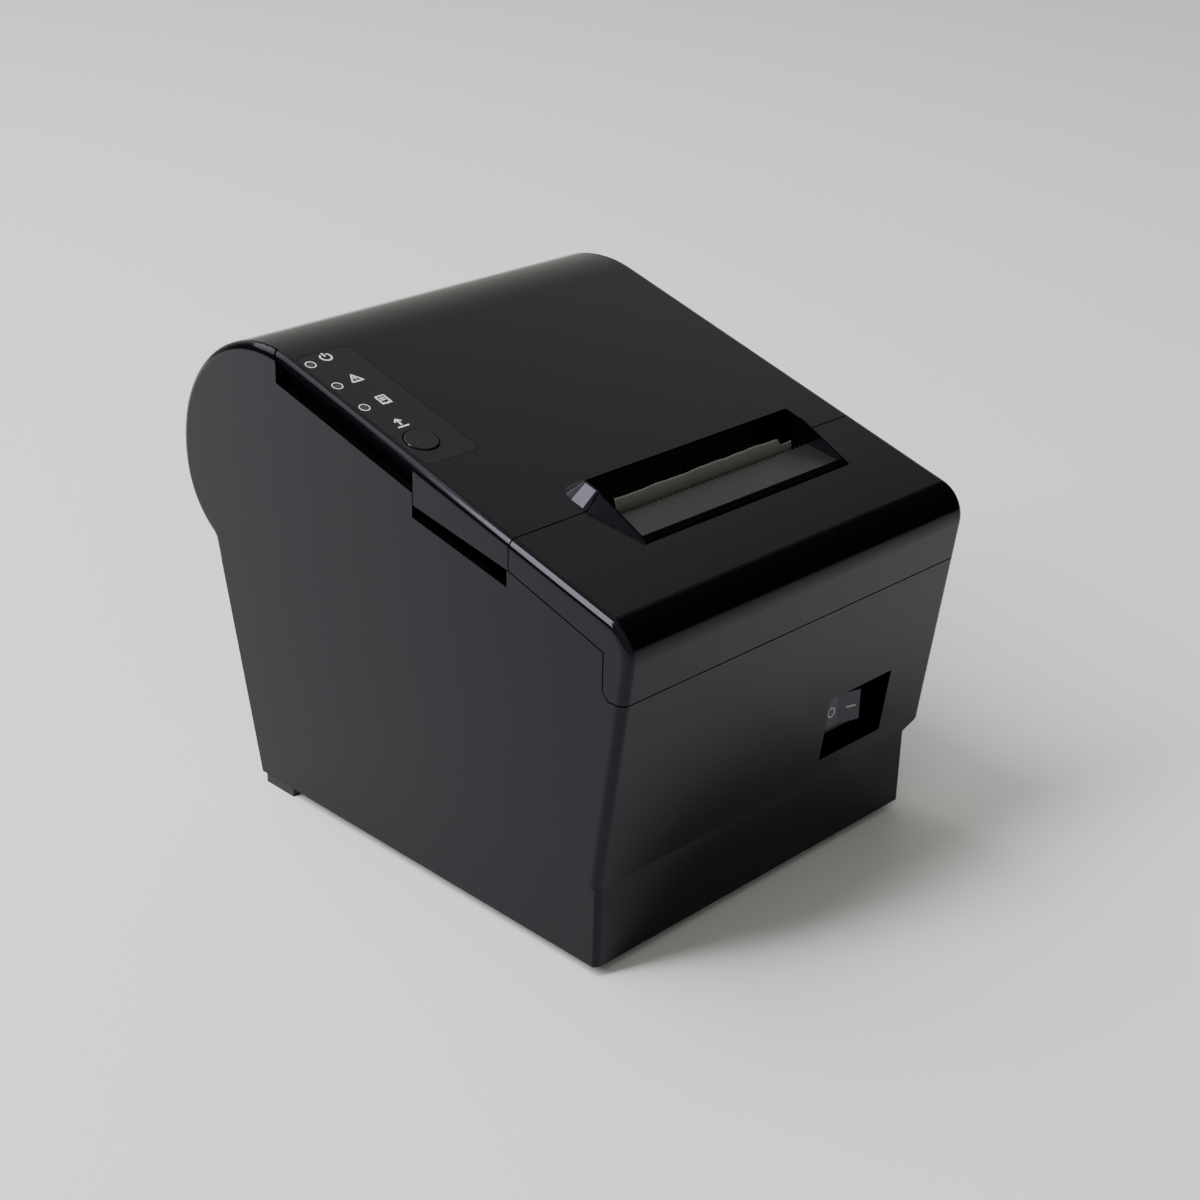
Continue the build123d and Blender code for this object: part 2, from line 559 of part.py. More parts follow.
def make_head():
    """Thermal head: ceramic strip on its heat sink, pivot pin and leaf spring."""
    face = PLATEN_Y - PLATEN_RADIUS - 0.75
    with BuildPart() as ceramic:
        block((-37.0, 47.0), (face - 0.9, face), (97.0, HEAD_TOP))
    save(ceramic, "thermal_head")
    with BuildPart() as sink:
        block((-37.0, 47.0), (face - 4.4, face - 0.9), (96.0, HEAD_TOP))
        rod_x(HEAD_Y, HEAD_Z, 2.7, (-37.0, 47.0))
        side_plate([(HEAD_Y - 2.2, HEAD_Z), (HEAD_Y + 2.2, HEAD_Z), (face - 0.9, 97.0), (face - 4.4, 97.0)],
                   (-37.0, 47.0))
        rod_x(HEAD_Y, HEAD_Z, 1.56, (-60, 70), mode=Mode.SUBTRACT)
    save(sink, "head_heat_sink")
    with BuildPart() as pivot:
        rod_x(HEAD_Y, HEAD_Z, 1.5, (-40.9, 50.9))
    save(pivot, "head_pivot")
    # the leaf is screwed to the cross wall and bows towards the heat sink
    with BuildPart() as leaf:
        for x in (-20.0, 30.0):
            side_plate([(-60.8, 90.5), (-60.4, 90.5), (-60.4, 96.0), (-55.7, 103.0), (-56.1, 103.4),
                        (-60.8, 96.2)], (x - 6, x + 6))
    save(leaf, "head_springs")


def bored_gear(name, y, z, teeth, bore, turn, hub=0.0):
    """Gear of the feed train."""
    with BuildPart() as wheel:
        gear(Plane.YZ.offset(GEAR_X).shift_origin((GEAR_X, y, z)), teeth, 5.0, turn)
        if hub:
            rod_x(y, z, hub, (GEAR_X, GEAR_X + 8.0))
        rod_x(y, z, bore, (GEAR_X - 2, GEAR_X + 12), mode=Mode.SUBTRACT)
    save(wheel, name)


def make_feed_train():
    """Stepper motor, pinion, idler and platen gear."""
    bored_gear("motor_pinion", PINION_Y, PINION_Z, PINION_TEETH, 1.25, PINION_TURN)
    bored_gear("idler_gear", IDLER_Y, IDLER_Z, IDLER_TEETH, 1.56, IDLER_TURN, hub=3.0)
    bored_gear("platen_gear", PLATEN_Y, PLATEN_Z, PLATEN_TEETH, 2.5, 0.0)
    with BuildPart() as motor:
        rod_x(PINION_Y, PINION_Z, 13.5, (-38.5, -19.5))
        for y, z in MOTOR_EARS:
            rod_x(y, z, 3.0, (-38.5, -37.5))
        block((-38.5, -37.5), (PINION_Y - 17, PINION_Y + 17), (PINION_Z - 3, PINION_Z + 3))
        rod_x(PINION_Y, PINION_Z, 3.9, (-40.2, -38.5))
        rod_x(PINION_Y, PINION_Z, 1.31, (-41, -30), mode=Mode.SUBTRACT)
    save(motor, "feed_motor")
    with BuildPart() as shaft:
        rod_x(PINION_Y, PINION_Z, 1.25, (GEAR_X - 0.5, -30.5))
    save(shaft, "motor_shaft")


def mesh_turn(teeth, y, z, other_y, other_z, other_teeth, other_turn):
    """Turn of a gear so that a gap of it faces a tooth of the other gear."""
    towards = math.atan2(other_z - z, other_y - y)
    back = towards + math.pi
    step, other_step = 2 * math.pi / teeth, 2 * math.pi / other_teeth
    # how far the line of centres lies into the other gear's tooth pitch
    share = ((back - other_turn) / other_step) % 1.0
    return towards + (share + 0.5) * step


IDLER_TURN = mesh_turn(IDLER_TEETH, IDLER_Y, IDLER_Z, PLATEN_Y, PLATEN_Z, PLATEN_TEETH, 0.0)
PINION_TURN = mesh_turn(PINION_TEETH, PINION_Y, PINION_Z, IDLER_Y, IDLER_Z, IDLER_TEETH, IDLER_TURN)


def make_platen():
    """Rubber platen on a steel shaft with its two bushes."""
    with BuildPart() as rubber:
        rod_x(PLATEN_Y, PLATEN_Z, PLATEN_RADIUS, (-35.5, 45.5))
        rod_x(PLATEN_Y, PLATEN_Z, 3.0, (-60, 70), mode=Mode.SUBTRACT)
    save(rubber, "platen_roller")
    with BuildPart() as shaft:
        rod_x(PLATEN_Y, PLATEN_Z, 2.5, (GEAR_X - 0.4, 50.6))
        rod_x(PLATEN_Y, PLATEN_Z, 3.0, (-35.5, 45.5))
    save(shaft, "platen_shaft")
    with BuildPart() as bushes:
        for outer, spigot in (((-40.6, -37.8), (-37.8, -36.3)), ((47.8, 50.4), (46.3, 47.8))):
            rod_x(PLATEN_Y, PLATEN_Z, 3.8, outer)
            rod_x(PLATEN_Y, PLATEN_Z, 3.4, spigot)
        rod_x(PLATEN_Y, PLATEN_Z, 2.56, (-60, 70), mode=Mode.SUBTRACT)
    save(bushes, "platen_bushes")


def make_lid_bracket():
    """Steel bracket on the lid that carries platen and fixed blade, and the fixed blade."""
    arm = [(-47.6, 113.0), (-41.0, 113.0), (-38.6, 104.0), (-40.0, 98.6), (-46.5, 98.6), (-47.7, 103.0),
           (-47.6, 108.6)]
    with BuildPart() as bracket:
        block((-37.8, 47.8), (-50.2, -41.0), (113.0, 114.3))
        for xs in ((-37.8, -36.3), (46.3, 47.8)):
            side_plate(arm, xs)
            rod_x(PLATEN_Y, PLATEN_Z, 3.4, xs, mode=Mode.SUBTRACT)
    save(bracket, "platen_bracket")
    with BuildPart() as fixed:
        block((-36.0, 46.0), (-50.4, -42.0), (111.6, 113.0))
        with BuildSketch(Plane.YZ.offset(-36.0)):
            with BuildLine():
                Polyline((-50.5, 113.1), (-50.5, 112.0), (-49.4, 113.1), close=True)
            make_face()
        extrude(amount=82.0, mode=Mode.SUBTRACT)
    save(fixed, "fixed_blade")


CUTTER_Y = -70.0
CUTTER_X = RACK_X + MODULE * CUTTER_PINION_TEETH / 2 + 0.1
DRIVE_DISTANCE = MODULE * (CUTTER_GEAR_TEETH + CUTTER_DRIVE_TEETH) / 2 + 0.12
DRIVE_X = CUTTER_X + 7.6
DRIVE_Y = CUTTER_Y + math.sqrt(DRIVE_DISTANCE ** 2 - 7.6 ** 2)


def make_cutter():
    """Automatic cutter: base, sliding blade with its rack, stepped gear, drive pinion, motor."""
    with BuildPart() as base:
        block((-46.0, DRIVE_X + 8), (-82.0, -57.0), (106.6, 108.4))
        post(CUTTER_X, CUTTER_Y, 5.2, (100, 112), mode=Mode.SUBTRACT)
        post(DRIVE_X, DRIVE_Y, 3.2, (100, 112), mode=Mode.SUBTRACT)
        # guide rails under and beside the blade
        for xs in ((-34.0, -28.0), (34.0, 40.0)):
            block(xs, (-80.0, -58.0), (108.4, BLADE_Z - 0.3))
        block((-38.6, -36.3), (-80.0, -58.0), (108.4, BLADE_Z + 1.0))
        # bracket that carries the stepped gear's pin from below
        block((CUTTER_X - 3, CUTTER_X + 3), (-82.0, CUTTER_Y + 3), (98.6, 100.0))
        block((CUTTER_X - 3, CUTTER_X + 3), (-82.0, -80.4), (98.6, 106.6))
        # bracket of the motor
        block((DRIVE_X - 8, DRIVE_X + 8), (DRIVE_Y - 8, DRIVE_Y + 8), (98.4, 99.6))
        block((DRIVE_X + 6.8, DRIVE_X + 8), (DRIVE_Y - 8, DRIVE_Y + 8), (99.6, 106.6))
        post(DRIVE_X, DRIVE_Y, 3.0, (98, 100), mode=Mode.SUBTRACT)
    save(base, "cutter_base")
    with BuildPart() as gear_pin:
        post(CUTTER_X, CUTTER_Y, 1.5, (100.0, 112.0))
    save(gear_pin, "cutter_gear_pin")
    with BuildPart() as blade:
        with BuildSketch(Plane.XY.offset(BLADE_Z)):
            with BuildLine():
                Polyline((-35.9, -52.6), (-35.9, -74.0), (RACK_X - 1.2, -74.0), (RACK_X - 1.2, -52.6),
                         (PAPER_X, -54.2), close=True)
            make_face()
        extrude(amount=1.0)
        pitch = math.pi * MODULE
        with BuildSketch(Plane.XY.offset(BLADE_Z)):
            for tooth in range(-5, 2):
                y = CUTTER_Y + (tooth + 0.5) * pitch
                with BuildLine():
                    Polyline((RACK_X - 1.3, y - 0.30 * pitch), (RACK_X - 0.75, y - 0.30 * pitch),
                             (RACK_X + 0.55, y - 0.13 * pitch), (RACK_X + 0.55, y + 0.13 * pitch),
                             (RACK_X - 0.75, y + 0.30 * pitch), (RACK_X - 1.3, y + 0.30 * pitch), close=True)
                make_face()
            with Locations((RACK_X - 2.2, CUTTER_Y)):
                Rectangle(3.0, 21.0)
        extrude(amount=1.0)
    save(blade, "moving_blade")
    with BuildPart() as step_gear:
        gear(Plane.XY.offset(102.0).shift_origin((CUTTER_X, CUTTER_Y, 102.0)), CUTTER_GEAR_TEETH, 3.2)
        gear(Plane.XY.offset(105.0).shift_origin((CUTTER_X, CUTTER_Y, 105.0)), CUTTER_PINION_TEETH, 6.6,
             math.pi)
        post(CUTTER_X, CUTTER_Y, 3.0, (100.4, 102.0))
        post(CUTTER_X, CUTTER_Y, 1.56, (90, 120), mode=Mode.SUBTRACT)
    save(step_gear, "cutter_gear")
    with BuildPart() as drive:
        turn = mesh_turn(CUTTER_DRIVE_TEETH, DRIVE_X, DRIVE_Y, CUTTER_X, CUTTER_Y, CUTTER_GEAR_TEETH, 0.0)
        gear(Plane.XY.offset(101.6).shift_origin((DRIVE_X, DRIVE_Y, 101.6)), CUTTER_DRIVE_TEETH, 4.0, turn)
        post(DRIVE_X, DRIVE_Y, 1.0, (90.0, 101.6))
    save(drive, "cutter_drive_pinion")
    with BuildPart() as motor:
        post(DRIVE_X, DRIVE_Y, 7.6, (74.0, 98.4))
        post(DRIVE_X, DRIVE_Y, 2.6, (98.4, 100.4))
        post(DRIVE_X, DRIVE_Y, 1.06, (89.5, 101), mode=Mode.SUBTRACT)
    save(motor, "cutter_motor")


def make_panel():
    """Control panel on the lid: overlay, light pipes, board with its key, and the feed button."""
    with BuildPart() as overlay:
        with BuildSketch(slope_plane(0, 0, 0.8)):
            with Locations(PANEL_MIDDLE):
                RectangleRounded(PANEL_RIGHT - PANEL_LEFT - 0.3, PANEL_LENGTH - 0.3, 2.9)
        extrude(amount=0.8)
        with BuildSketch(slope_plane(BUTTON_X, BUTTON_Y, 8)):
            Circle(BUTTON_RADIUS + 0.35)
        extrude(amount=12, mode=Mode.SUBTRACT)
        for y in LED_ROWS:
            with BuildSketch(slope_plane(LED_X, y, 8)):
                Circle(1.0)
            extrude(amount=12, mode=Mode.SUBTRACT)
    save(overlay, "control_panel")
    with BuildPart() as pipes:
        for y in LED_ROWS:
            with BuildSketch(slope_plane(LED_X, y, 5.8)):
                Circle(0.95)
            extrude(amount=5.8)
    save(pipes, "status_lights")
    with BuildPart() as board:
        with BuildSketch(slope_plane(0, 0, 7.4)):
            with Locations((-58.6, 14.5)):
                Rectangle(15.0, 57.0)
        extrude(amount=1.6)
        with BuildSketch(slope_plane(BUTTON_X, BUTTON_Y, 5.8)):
            Rectangle(6.0, 6.0)
        extrude(amount=0.8)
    save(board, "panel_board")
    with BuildPart() as button:
        with BuildSketch(slope_plane(BUTTON_X, BUTTON_Y, 2.9)):
            Circle(BUTTON_RADIUS)
        extrude(amount=3.2)
        fillet(button.faces().sort_by(Axis.Z)[-1].edges(), 0.4)
        with BuildSketch(slope_plane(BUTTON_X, BUTTON_Y, 3.5)):
            Rectangle(7.0, 2 * BUTTON_RADIUS + 3.0)
        extrude(amount=0.6)
    save(button, "feed_button")


def make_switch():
    """Mains switch: body with its frame, and the rocker."""
    with BuildPart() as housing:
        block((SWITCH_X - 10.5, SWITCH_X + 10.5), (SWITCH_FACE, -81.0), (SWITCH_Z - 7.5, SWITCH_Z + 7.5))
        block((SWITCH_X - 9.6, SWITCH_X + 9.6), (-81.0, -66.0), (SWITCH_Z - 6.5, SWITCH_Z + 6.5))
        block((SWITCH_X - 9.1, SWITCH_X + 9.1), (-90, -75.5), (SWITCH_Z - 5.5, SWITCH_Z + 5.5),
              mode=Mode.SUBTRACT)
        for x in (-5.0, 5.0):
            block((SWITCH_X + x - 0.4, SWITCH_X + x + 0.4), (-66.0, -60.0), (SWITCH_Z - 2.4, SWITCH_Z + 2.4))
    save(housing, "switch_body")
    with BuildPart() as rocker:
        with BuildSketch(Plane.XY.offset(SWITCH_Z - 5.1)):
            with Locations(Location((SWITCH_X, ROCKER_Y), ROCKER_TILT)):
                Polygon((-8.2, -4.5), (0, -3.4), (8.2, -4.5), (8.2, 0.1), (5.0, 2.5), (-5.0, 2.5),
                        (-8.2, 0.1), align=None)
        extrude(amount=10.2)
        post(SWITCH_X, ROCKER_Y, 1.2, (0, 90), mode=Mode.SUBTRACT)
    save(rocker, "power_rocker")
    with BuildPart() as pin:
        post(SWITCH_X, ROCKER_Y, 1.15, (SWITCH_Z - 5.5, SWITCH_Z + 5.5))
    save(pin, "rocker_pin")


def make_electronics():
    """Main board, its sockets and larger components."""
    with BuildPart() as board:
        block((-62.0, 60.0), (-12.0, 60.5), (13.0, 14.6))
        for x in (PAPER_X - 44.0, PAPER_X + 44.0):
            for y in (8.0, 50.0):
                post(x, y, 3.8, (10, 20), mode=Mode.SUBTRACT)
    save(board, "main_board")
    with BuildPart() as parts:
        block((-12.0, 2.0), (18.0, 32.0), (14.6, 16.2))
        block((12.0, 24.0), (8.0, 18.0), (14.6, 16.4))
        for x, y in ((-52.0, 22.0), (-52.0, 34.0), (-30.0, 8.0)):
            post(x, y, 4.0, (14.6, 26.0))
        post(40.0, 34.0, 6.0, (14.6, 23.0))
        block((-20.0, 10.0), (-10.5, -5.5), (14.6, 20.0))
    save(parts, "board_components")
    for name, (x, width, bottom, height) in SOCKETS.items():
        with BuildPart() as socket:
            block((x - width / 2, x + width / 2), (52.0, SOCKET_FACE), (bottom, bottom + height))
            middle = bottom + height / 2
            if name == "power_socket":
                with BuildSketch(Plane.XZ.offset(-SOCKET_FACE - 1)):
                    with Locations((x, middle)):
                        Circle(5.0)
                extrude(amount=10.0, mode=Mode.SUBTRACT)
            elif name == "usb_socket":
                block((x - 4.2, x + 4.2), (58.0, 70.0), (middle - 3.9, middle + 3.9), mode=Mode.SUBTRACT)
                block((x - 2.8, x + 2.8), (58.0, 67.0), (middle - 1.6, middle + 1.6))
            else:
                inner = width / 2 - 2.0
                block((x - inner, x + inner), (57.0, 70.0), (middle - 4.0, middle + 3.4), mode=Mode.SUBTRACT)
                block((x - 2.2, x + 2.2), (57.0, 70.0), (middle + 3.3, middle + 4.9), mode=Mode.SUBTRACT)
        save(socket, name)


def make_sensors():
    """Paper sensor beside the ramp and the switch that senses the closed lid."""
    with BuildPart() as low:
        block((PAPER_X - 48.0, PAPER_X - 44.0), (20.0, 30.0), (52.0, 62.0))
    save(low, "paper_sensor")
    with BuildPart() as latch:
        for xs in ((PLATE_LEFT[0] - 1.2, PLATE_LEFT[0]), (PLATE_RIGHT[1], PLATE_RIGHT[1] + 1.2)):
            side_plate([(-38.6, 92.0), (-35.2, 92.0), (-35.2, 107.0), (-38.2, 109.0), (-38.6, 106.0)], xs)
    save(latch, "lid_catches")


make_housing()
make_top_cover()
make_hinge_pins()
make_front_cover()
make_tear_bar()
make_base_plate()
make_fasteners()
make_feet()
make_paper()
make_paper_well()
make_mechanism()
make_head()
make_feed_train()
make_platen()
make_lid_bracket()
make_cutter()
make_panel()
make_switch()
make_electronics()
make_sensors()
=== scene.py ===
"""Desktop receipt printer: finishes, printed marks, paper, small fittings, studio and camera.

Each piece is a surface worked out as whole arrays, and each finish is a procedural material.
Lengths are in metres in the printer's own frame: +Z up, front towards -Y, +X to the right.
"""

import json
import math

import bmesh
import bpy
import numpy as np
from mathutils import Matrix, Vector


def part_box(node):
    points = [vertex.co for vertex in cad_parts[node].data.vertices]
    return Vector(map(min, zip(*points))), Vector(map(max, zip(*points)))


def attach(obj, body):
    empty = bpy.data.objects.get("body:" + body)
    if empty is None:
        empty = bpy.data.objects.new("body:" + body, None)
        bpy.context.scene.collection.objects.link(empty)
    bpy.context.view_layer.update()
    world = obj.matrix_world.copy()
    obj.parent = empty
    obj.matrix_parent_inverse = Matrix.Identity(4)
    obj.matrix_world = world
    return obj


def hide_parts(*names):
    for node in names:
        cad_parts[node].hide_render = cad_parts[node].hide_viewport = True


bl_info = {
    "name": "Receipt printer",
    "version": (1, 0, 0),
    "blender": (4, 5, 0),
    "location": "3D View > Sidebar > Receipt printer",
    "description": "Finishes, printed marks, paper, small fittings and studio of a receipt printer",
    "category": "Object",
}

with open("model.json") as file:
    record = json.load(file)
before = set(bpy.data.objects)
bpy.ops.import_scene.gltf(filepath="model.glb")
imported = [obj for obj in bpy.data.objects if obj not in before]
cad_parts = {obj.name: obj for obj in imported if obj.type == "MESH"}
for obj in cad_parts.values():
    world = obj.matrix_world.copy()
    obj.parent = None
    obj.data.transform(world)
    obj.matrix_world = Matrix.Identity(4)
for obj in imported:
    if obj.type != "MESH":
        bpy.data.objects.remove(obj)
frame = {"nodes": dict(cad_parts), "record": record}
NODES = frame["nodes"]
SLOT_OF = {s["node"]: s["material_slot"] for s in frame["record"]["subparts"]}
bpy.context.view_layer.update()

# The sloping top of the casing: z = TOP_HEIGHT + TOP_SLOPE * y
TOP_SLOPE = 0.27
TOP_HEIGHT = 0.13588
SLOPE = math.atan(TOP_SLOPE)
ACROSS = np.array((1.0, 0.0, 0.0))
UPHILL = np.array((0.0, math.cos(SLOPE), math.sin(SLOPE)))
OUTWARD = np.array((0.0, -math.sin(SLOPE), math.cos(SLOPE)))

INK_LIFT = 0.00001          # printed marks start this far above the surface
MERGE_DISTANCE = 1e-7       # points closer than this are one point


# ---------------------------------------------------------------------------
# Settings
# ---------------------------------------------------------------------------

def colour(name, description, default):
    """A linear RGB colour setting."""
    return bpy.props.FloatVectorProperty(name=name, description=description, default=default,
                                         size=3, min=0.0, max=1.0, subtype="COLOR")


def length(name, description, default, low=0.0, high=1.0):
    """A setting in metres."""
    return bpy.props.FloatProperty(name=name, description=description, default=default,
                                   min=low, max=high, precision=5, unit="LENGTH")


def share(name, description, default, high=1.0):
    """A setting without a unit, from 0 up."""
    return bpy.props.FloatProperty(name=name, description=description, default=default,
                                   min=0.0, max=high, subtype="FACTOR")


class PRINTER_PG_Plastic(bpy.types.PropertyGroup):
    """Colours and surface of the moulded plastic."""
    shell_color: colour("Shell colour", "Glossy casing and covers", (0.0022, 0.0019, 0.0029))
    shell_roughness: share("Shell roughness", "Roughness of the polished casing", 0.11)
    panel_color: colour("Panel colour", "Satin film over the control panel", (0.0045, 0.0042, 0.0055))
    tear_color: colour("Tear plate colour", "Sloping plate inside the paper exit", (0.0115, 0.012, 0.009))
    inner_color: colour("Inner plastic colour", "Moulded inner parts", (0.012, 0.012, 0.013))
    wear: share("Edge wear", "Polish worn off along the edges", 0.25)
    dust: share("Dust", "Fine dust on surfaces that face up", 0.07)


class PRINTER_PG_Metal(bpy.types.PropertyGroup):
    """Colours of the metal parts."""
    sheet_color: colour("Sheet colour", "Zinc plated sheet steel", (0.42, 0.43, 0.44))
    ground_color: colour("Ground steel colour", "Shafts, pins and blades", (0.56, 0.56, 0.57))
    brass_color: colour("Brass colour", "Machined pinions and contacts", (0.72, 0.50, 0.20))
    aluminium_color: colour("Aluminium colour", "Heat sink of the print head", (0.62, 0.63, 0.64))


class PRINTER_PG_Paper(bpy.types.PropertyGroup):
    """The paper roll and the torn end of the receipt."""
    paper_color: colour("Paper colour", "Smooth coated side", (0.68, 0.68, 0.64))
    # The receipt's colour is painted shade: white paper darkened to a dark grey
    receipt_painted_shade_color: colour("Receipt colour", "White receipt paper darkened as painted shade", (0.16, 0.16, 0.145))
    core_color: colour("Core colour", "Wound paperboard core", (0.34, 0.25, 0.15))
    thickness: length("Thickness", "Thickness of the receipt", 0.00016, 0.00005, 0.001)
    tooth_pitch: length("Tooth pitch", "Spacing of the torn teeth", 0.0011, 0.0003, 0.005)
    tooth_depth: length("Tooth depth", "Height of the torn teeth", 0.00035, 0.0, 0.003)
    layer: length("Wound layer", "Radial step between the edges drawn on the roll", 0.0006, 0.0002, 0.003)


class PRINTER_PG_Contacts(bpy.types.PropertyGroup):
    """Spring contacts and pins inside the rear sockets."""
    wire: length("Contact wire", "Thickness of the spring contacts", 0.00040, 0.0001, 0.001)
    pin_radius: length("Pin radius", "Centre pin of the power inlet", 0.00105, 0.0003, 0.003)
    drawer_pitch: length("Drawer pitch", "Spacing of the drawer contacts", 0.00102, 0.0005, 0.003)
    network_pitch: length("Network pitch", "Spacing of the network contacts", 0.00102, 0.0005, 0.003)


class PRINTER_PG_Marks(bpy.types.PropertyGroup):
    """Printed pictograms."""
    ink_color: colour("Ink colour", "Printed marks", (0.80, 0.80, 0.80))
    size: length("Pictogram size", "Height of each panel pictogram", 0.0040, 0.001, 0.01)
    stroke: length("Stroke", "Width of the printed lines", 0.00055, 0.0001, 0.002)
    film: length("Ink thickness", "How far the ink stands proud", 0.00004, 0.00001, 0.0005)


class PRINTER_PG_Studio(bpy.types.PropertyGroup):
    """Floor, light and camera."""
    floor_color: colour("Floor colour", "Plain pale floor", (0.95, 0.95, 0.95))
    floor_radius: length("Floor radius", "Half width of the floor", 4.0, 0.5, 20.0)
    key_power: bpy.props.FloatProperty(name="Key power", description="Long soft box above the rear left",
                                       default=46.0, min=0.0, unit="POWER")
    top_power: bpy.props.FloatProperty(name="Overhead power", description="Wide soft box above the rear",
                                       default=30.0, min=0.0, unit="POWER")
    sky: share("Sky", "Brightness of the studio walls in reflections", 0.62, 5.0)
    lens: bpy.props.FloatProperty(name="Lens", description="Focal length on a 36 mm sensor",
                                  default=65.23, min=10.0, max=300.0, unit="CAMERA")


# ---------------------------------------------------------------------------
# Surfaces
# ---------------------------------------------------------------------------

def surface(name, points, closed_u=False, closed_v=False, cap=False):
    """Mesh of the grid points[u, v]; a closed direction joins its last row to its first.

    With cap, the first and the last row along u are each filled with one face.
    """
    rows, columns = points.shape[:2]
    u = np.arange(rows if closed_u else rows - 1)
    v = np.arange(columns if closed_v else columns - 1)
    uu, vv = np.meshgrid(u, v, indexing="ij")
    nu, nv = (uu + 1) % rows, (vv + 1) % columns
    faces = np.stack([uu * columns + vv, nu * columns + vv, nu * columns + nv, uu * columns + nv],
                     axis=-1).reshape(-1, 4).tolist()
    if cap:
        faces.append(list(range(columns)))
        faces.append([(rows - 1) * columns + k for k in range(columns)][::-1])
    mesh = bpy.data.meshes.new(name)
    mesh.from_pydata(points.reshape(-1, 3).tolist(), [], faces)
    mesh.update()
    return mesh


def add_piece(name, meshes, body, material, smooth=True):
    """One object from several meshes, merged, with normals outwards, riding on a body."""
    merged = bpy.data.meshes.new(name)
    bm = bmesh_of(meshes)
    bm.to_mesh(merged)
    bm.free()
    merged.polygons.foreach_set("use_smooth", np.full(len(merged.polygons), smooth))
    piece = bpy.data.objects.new(name, merged)
    bpy.context.scene.collection.objects.link(piece)
    merged.materials.append(material)
    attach(piece, body)
    return piece


def bmesh_of(meshes):
    """The meshes joined in one editable mesh, doubles merged and normals outwards; they are used up."""
    bm = bmesh.new()
    for mesh in meshes:
        bm.from_mesh(mesh)
        bpy.data.meshes.remove(mesh)
    bmesh.ops.remove_doubles(bm, verts=bm.verts, dist=MERGE_DISTANCE)
    bmesh.ops.recalc_face_normals(bm, faces=bm.faces)
    return bm


def ribbon(name, path, normal, width, height, closed=False):
    """A flat printed stroke: a rectangle of that width and height carried along a path.

    At each point of the path the cross direction is the unit tangent turned a quarter turn
    about the normal; the four corners are the point plus or minus half the width across and
    0 or the height along the normal.
    """
    path = np.asarray(path, float)
    if closed:
        tangent = np.roll(path, -1, 0) - np.roll(path, 1, 0)
    else:
        tangent = np.gradient(path, axis=0)
    tangent /= np.linalg.norm(tangent, axis=1)[:, None]
    across = np.cross(normal, tangent) * width / 2
    up = np.asarray(normal) * height
    corners = np.stack([path - across, path + across, path + across + up, path - across + up], axis=1)
    return surface(name, corners, closed_u=closed, closed_v=True, cap=not closed)


def on_plane(origin, right, up, flat):
    """Points of a flat drawing, (n, 2), placed at an origin with its right and up directions."""
    flat = np.asarray(flat, float)
    return np.asarray(origin) + flat[:, :1] * np.asarray(right) + flat[:, 1:] * np.asarray(up)


def circle_path(radius, start=0.0, sweep=2 * math.pi, count=48):
    """Points at a constant radius, at angles even from start to start + sweep."""
    full = abs(abs(sweep) - 2 * math.pi) < 1e-6
    angle = start + sweep * np.arange(count) / (count if full else count - 1)
    return np.stack([radius * np.cos(angle), radius * np.sin(angle)], axis=1)


def polyline(corners, per_side=6):
    """Corners joined by straight runs, each run divided evenly."""
    corners = np.asarray(corners, float)
    t = np.linspace(0, 1, per_side + 1)[:, None]
    runs = [a + (b - a) * t[:-1] for a, b in zip(corners[:-1], corners[1:])]
    return np.concatenate(runs + [corners[-1:]])


# ---------------------------------------------------------------------------
# Shader groups: each puts out only masks, values and colours
# ---------------------------------------------------------------------------

def new_group(name, inputs, outputs):
    """An empty shader group with float sockets, and its entry and exit nodes."""
    group = bpy.data.node_groups.new(name, "ShaderNodeTree")
    for label, default in inputs:
        socket = group.interface.new_socket(name=label, in_out="INPUT", socket_type="NodeSocketFloat")
        socket.default_value = default
    for label in outputs:
        group.interface.new_socket(name=label, in_out="OUTPUT", socket_type="NodeSocketFloat")
    entry, leave = group.nodes.new("NodeGroupInput"), group.nodes.new("NodeGroupOutput")
    return group, entry, leave


def node(tree, kind, **values):
    """A node with its settings; a value whose name is an input is set on that socket."""
    made = tree.nodes.new(kind)
    for key, value in values.items():
        label = key.replace("_", " ")
        if hasattr(made, key):
            setattr(made, key, value)
        elif label in made.inputs:
            made.inputs[label].default_value = value
        else:
            raise KeyError(f"{kind} has no {key}")
    return made


def maths(tree, operation, first, second=0.0, clamp=False):
    """A Math node; each operand is a socket or a number."""
    made = tree.nodes.new("ShaderNodeMath")
    made.operation, made.use_clamp = operation, clamp
    for socket, value in zip(made.inputs, (first, second)):
        if isinstance(value, bpy.types.NodeSocket):
            tree.links.new(value, socket)
        else:
            socket.default_value = value
    return made.outputs[0]


def remap(tree, value, low, high, to_low=0.0, to_high=1.0):
    """A clamped Map Range of a socket."""
    made = tree.nodes.new("ShaderNodeMapRange")
    made.clamp = True
    tree.links.new(value, made.inputs["Value"])
    for label, number in (("From Min", low), ("From Max", high), ("To Min", to_low), ("To Max", to_high)):
        if isinstance(number, bpy.types.NodeSocket):
            tree.links.new(number, made.inputs[label])
        else:
            made.inputs[label].default_value = number
    return made.outputs["Result"]


def object_noise(tree, scale, detail=2.0, stretch=(1.0, 1.0, 1.0)):
    """Noise in the piece's own coordinates, finer along a direction with a larger stretch."""
    place = tree.nodes.new("ShaderNodeTexCoord")
    mapping = node(tree, "ShaderNodeMapping")
    mapping.inputs["Scale"].default_value = stretch
    noise = node(tree, "ShaderNodeTexNoise")
    noise.inputs["Detail"].default_value = detail
    if isinstance(scale, bpy.types.NodeSocket):
        tree.links.new(scale, noise.inputs["Scale"])
    else:
        noise.inputs["Scale"].default_value = scale
    tree.links.new(place.outputs["Object"], mapping.inputs["Vector"])
    tree.links.new(mapping.outputs["Vector"], noise.inputs["Vector"])
    return noise.outputs["Fac"]


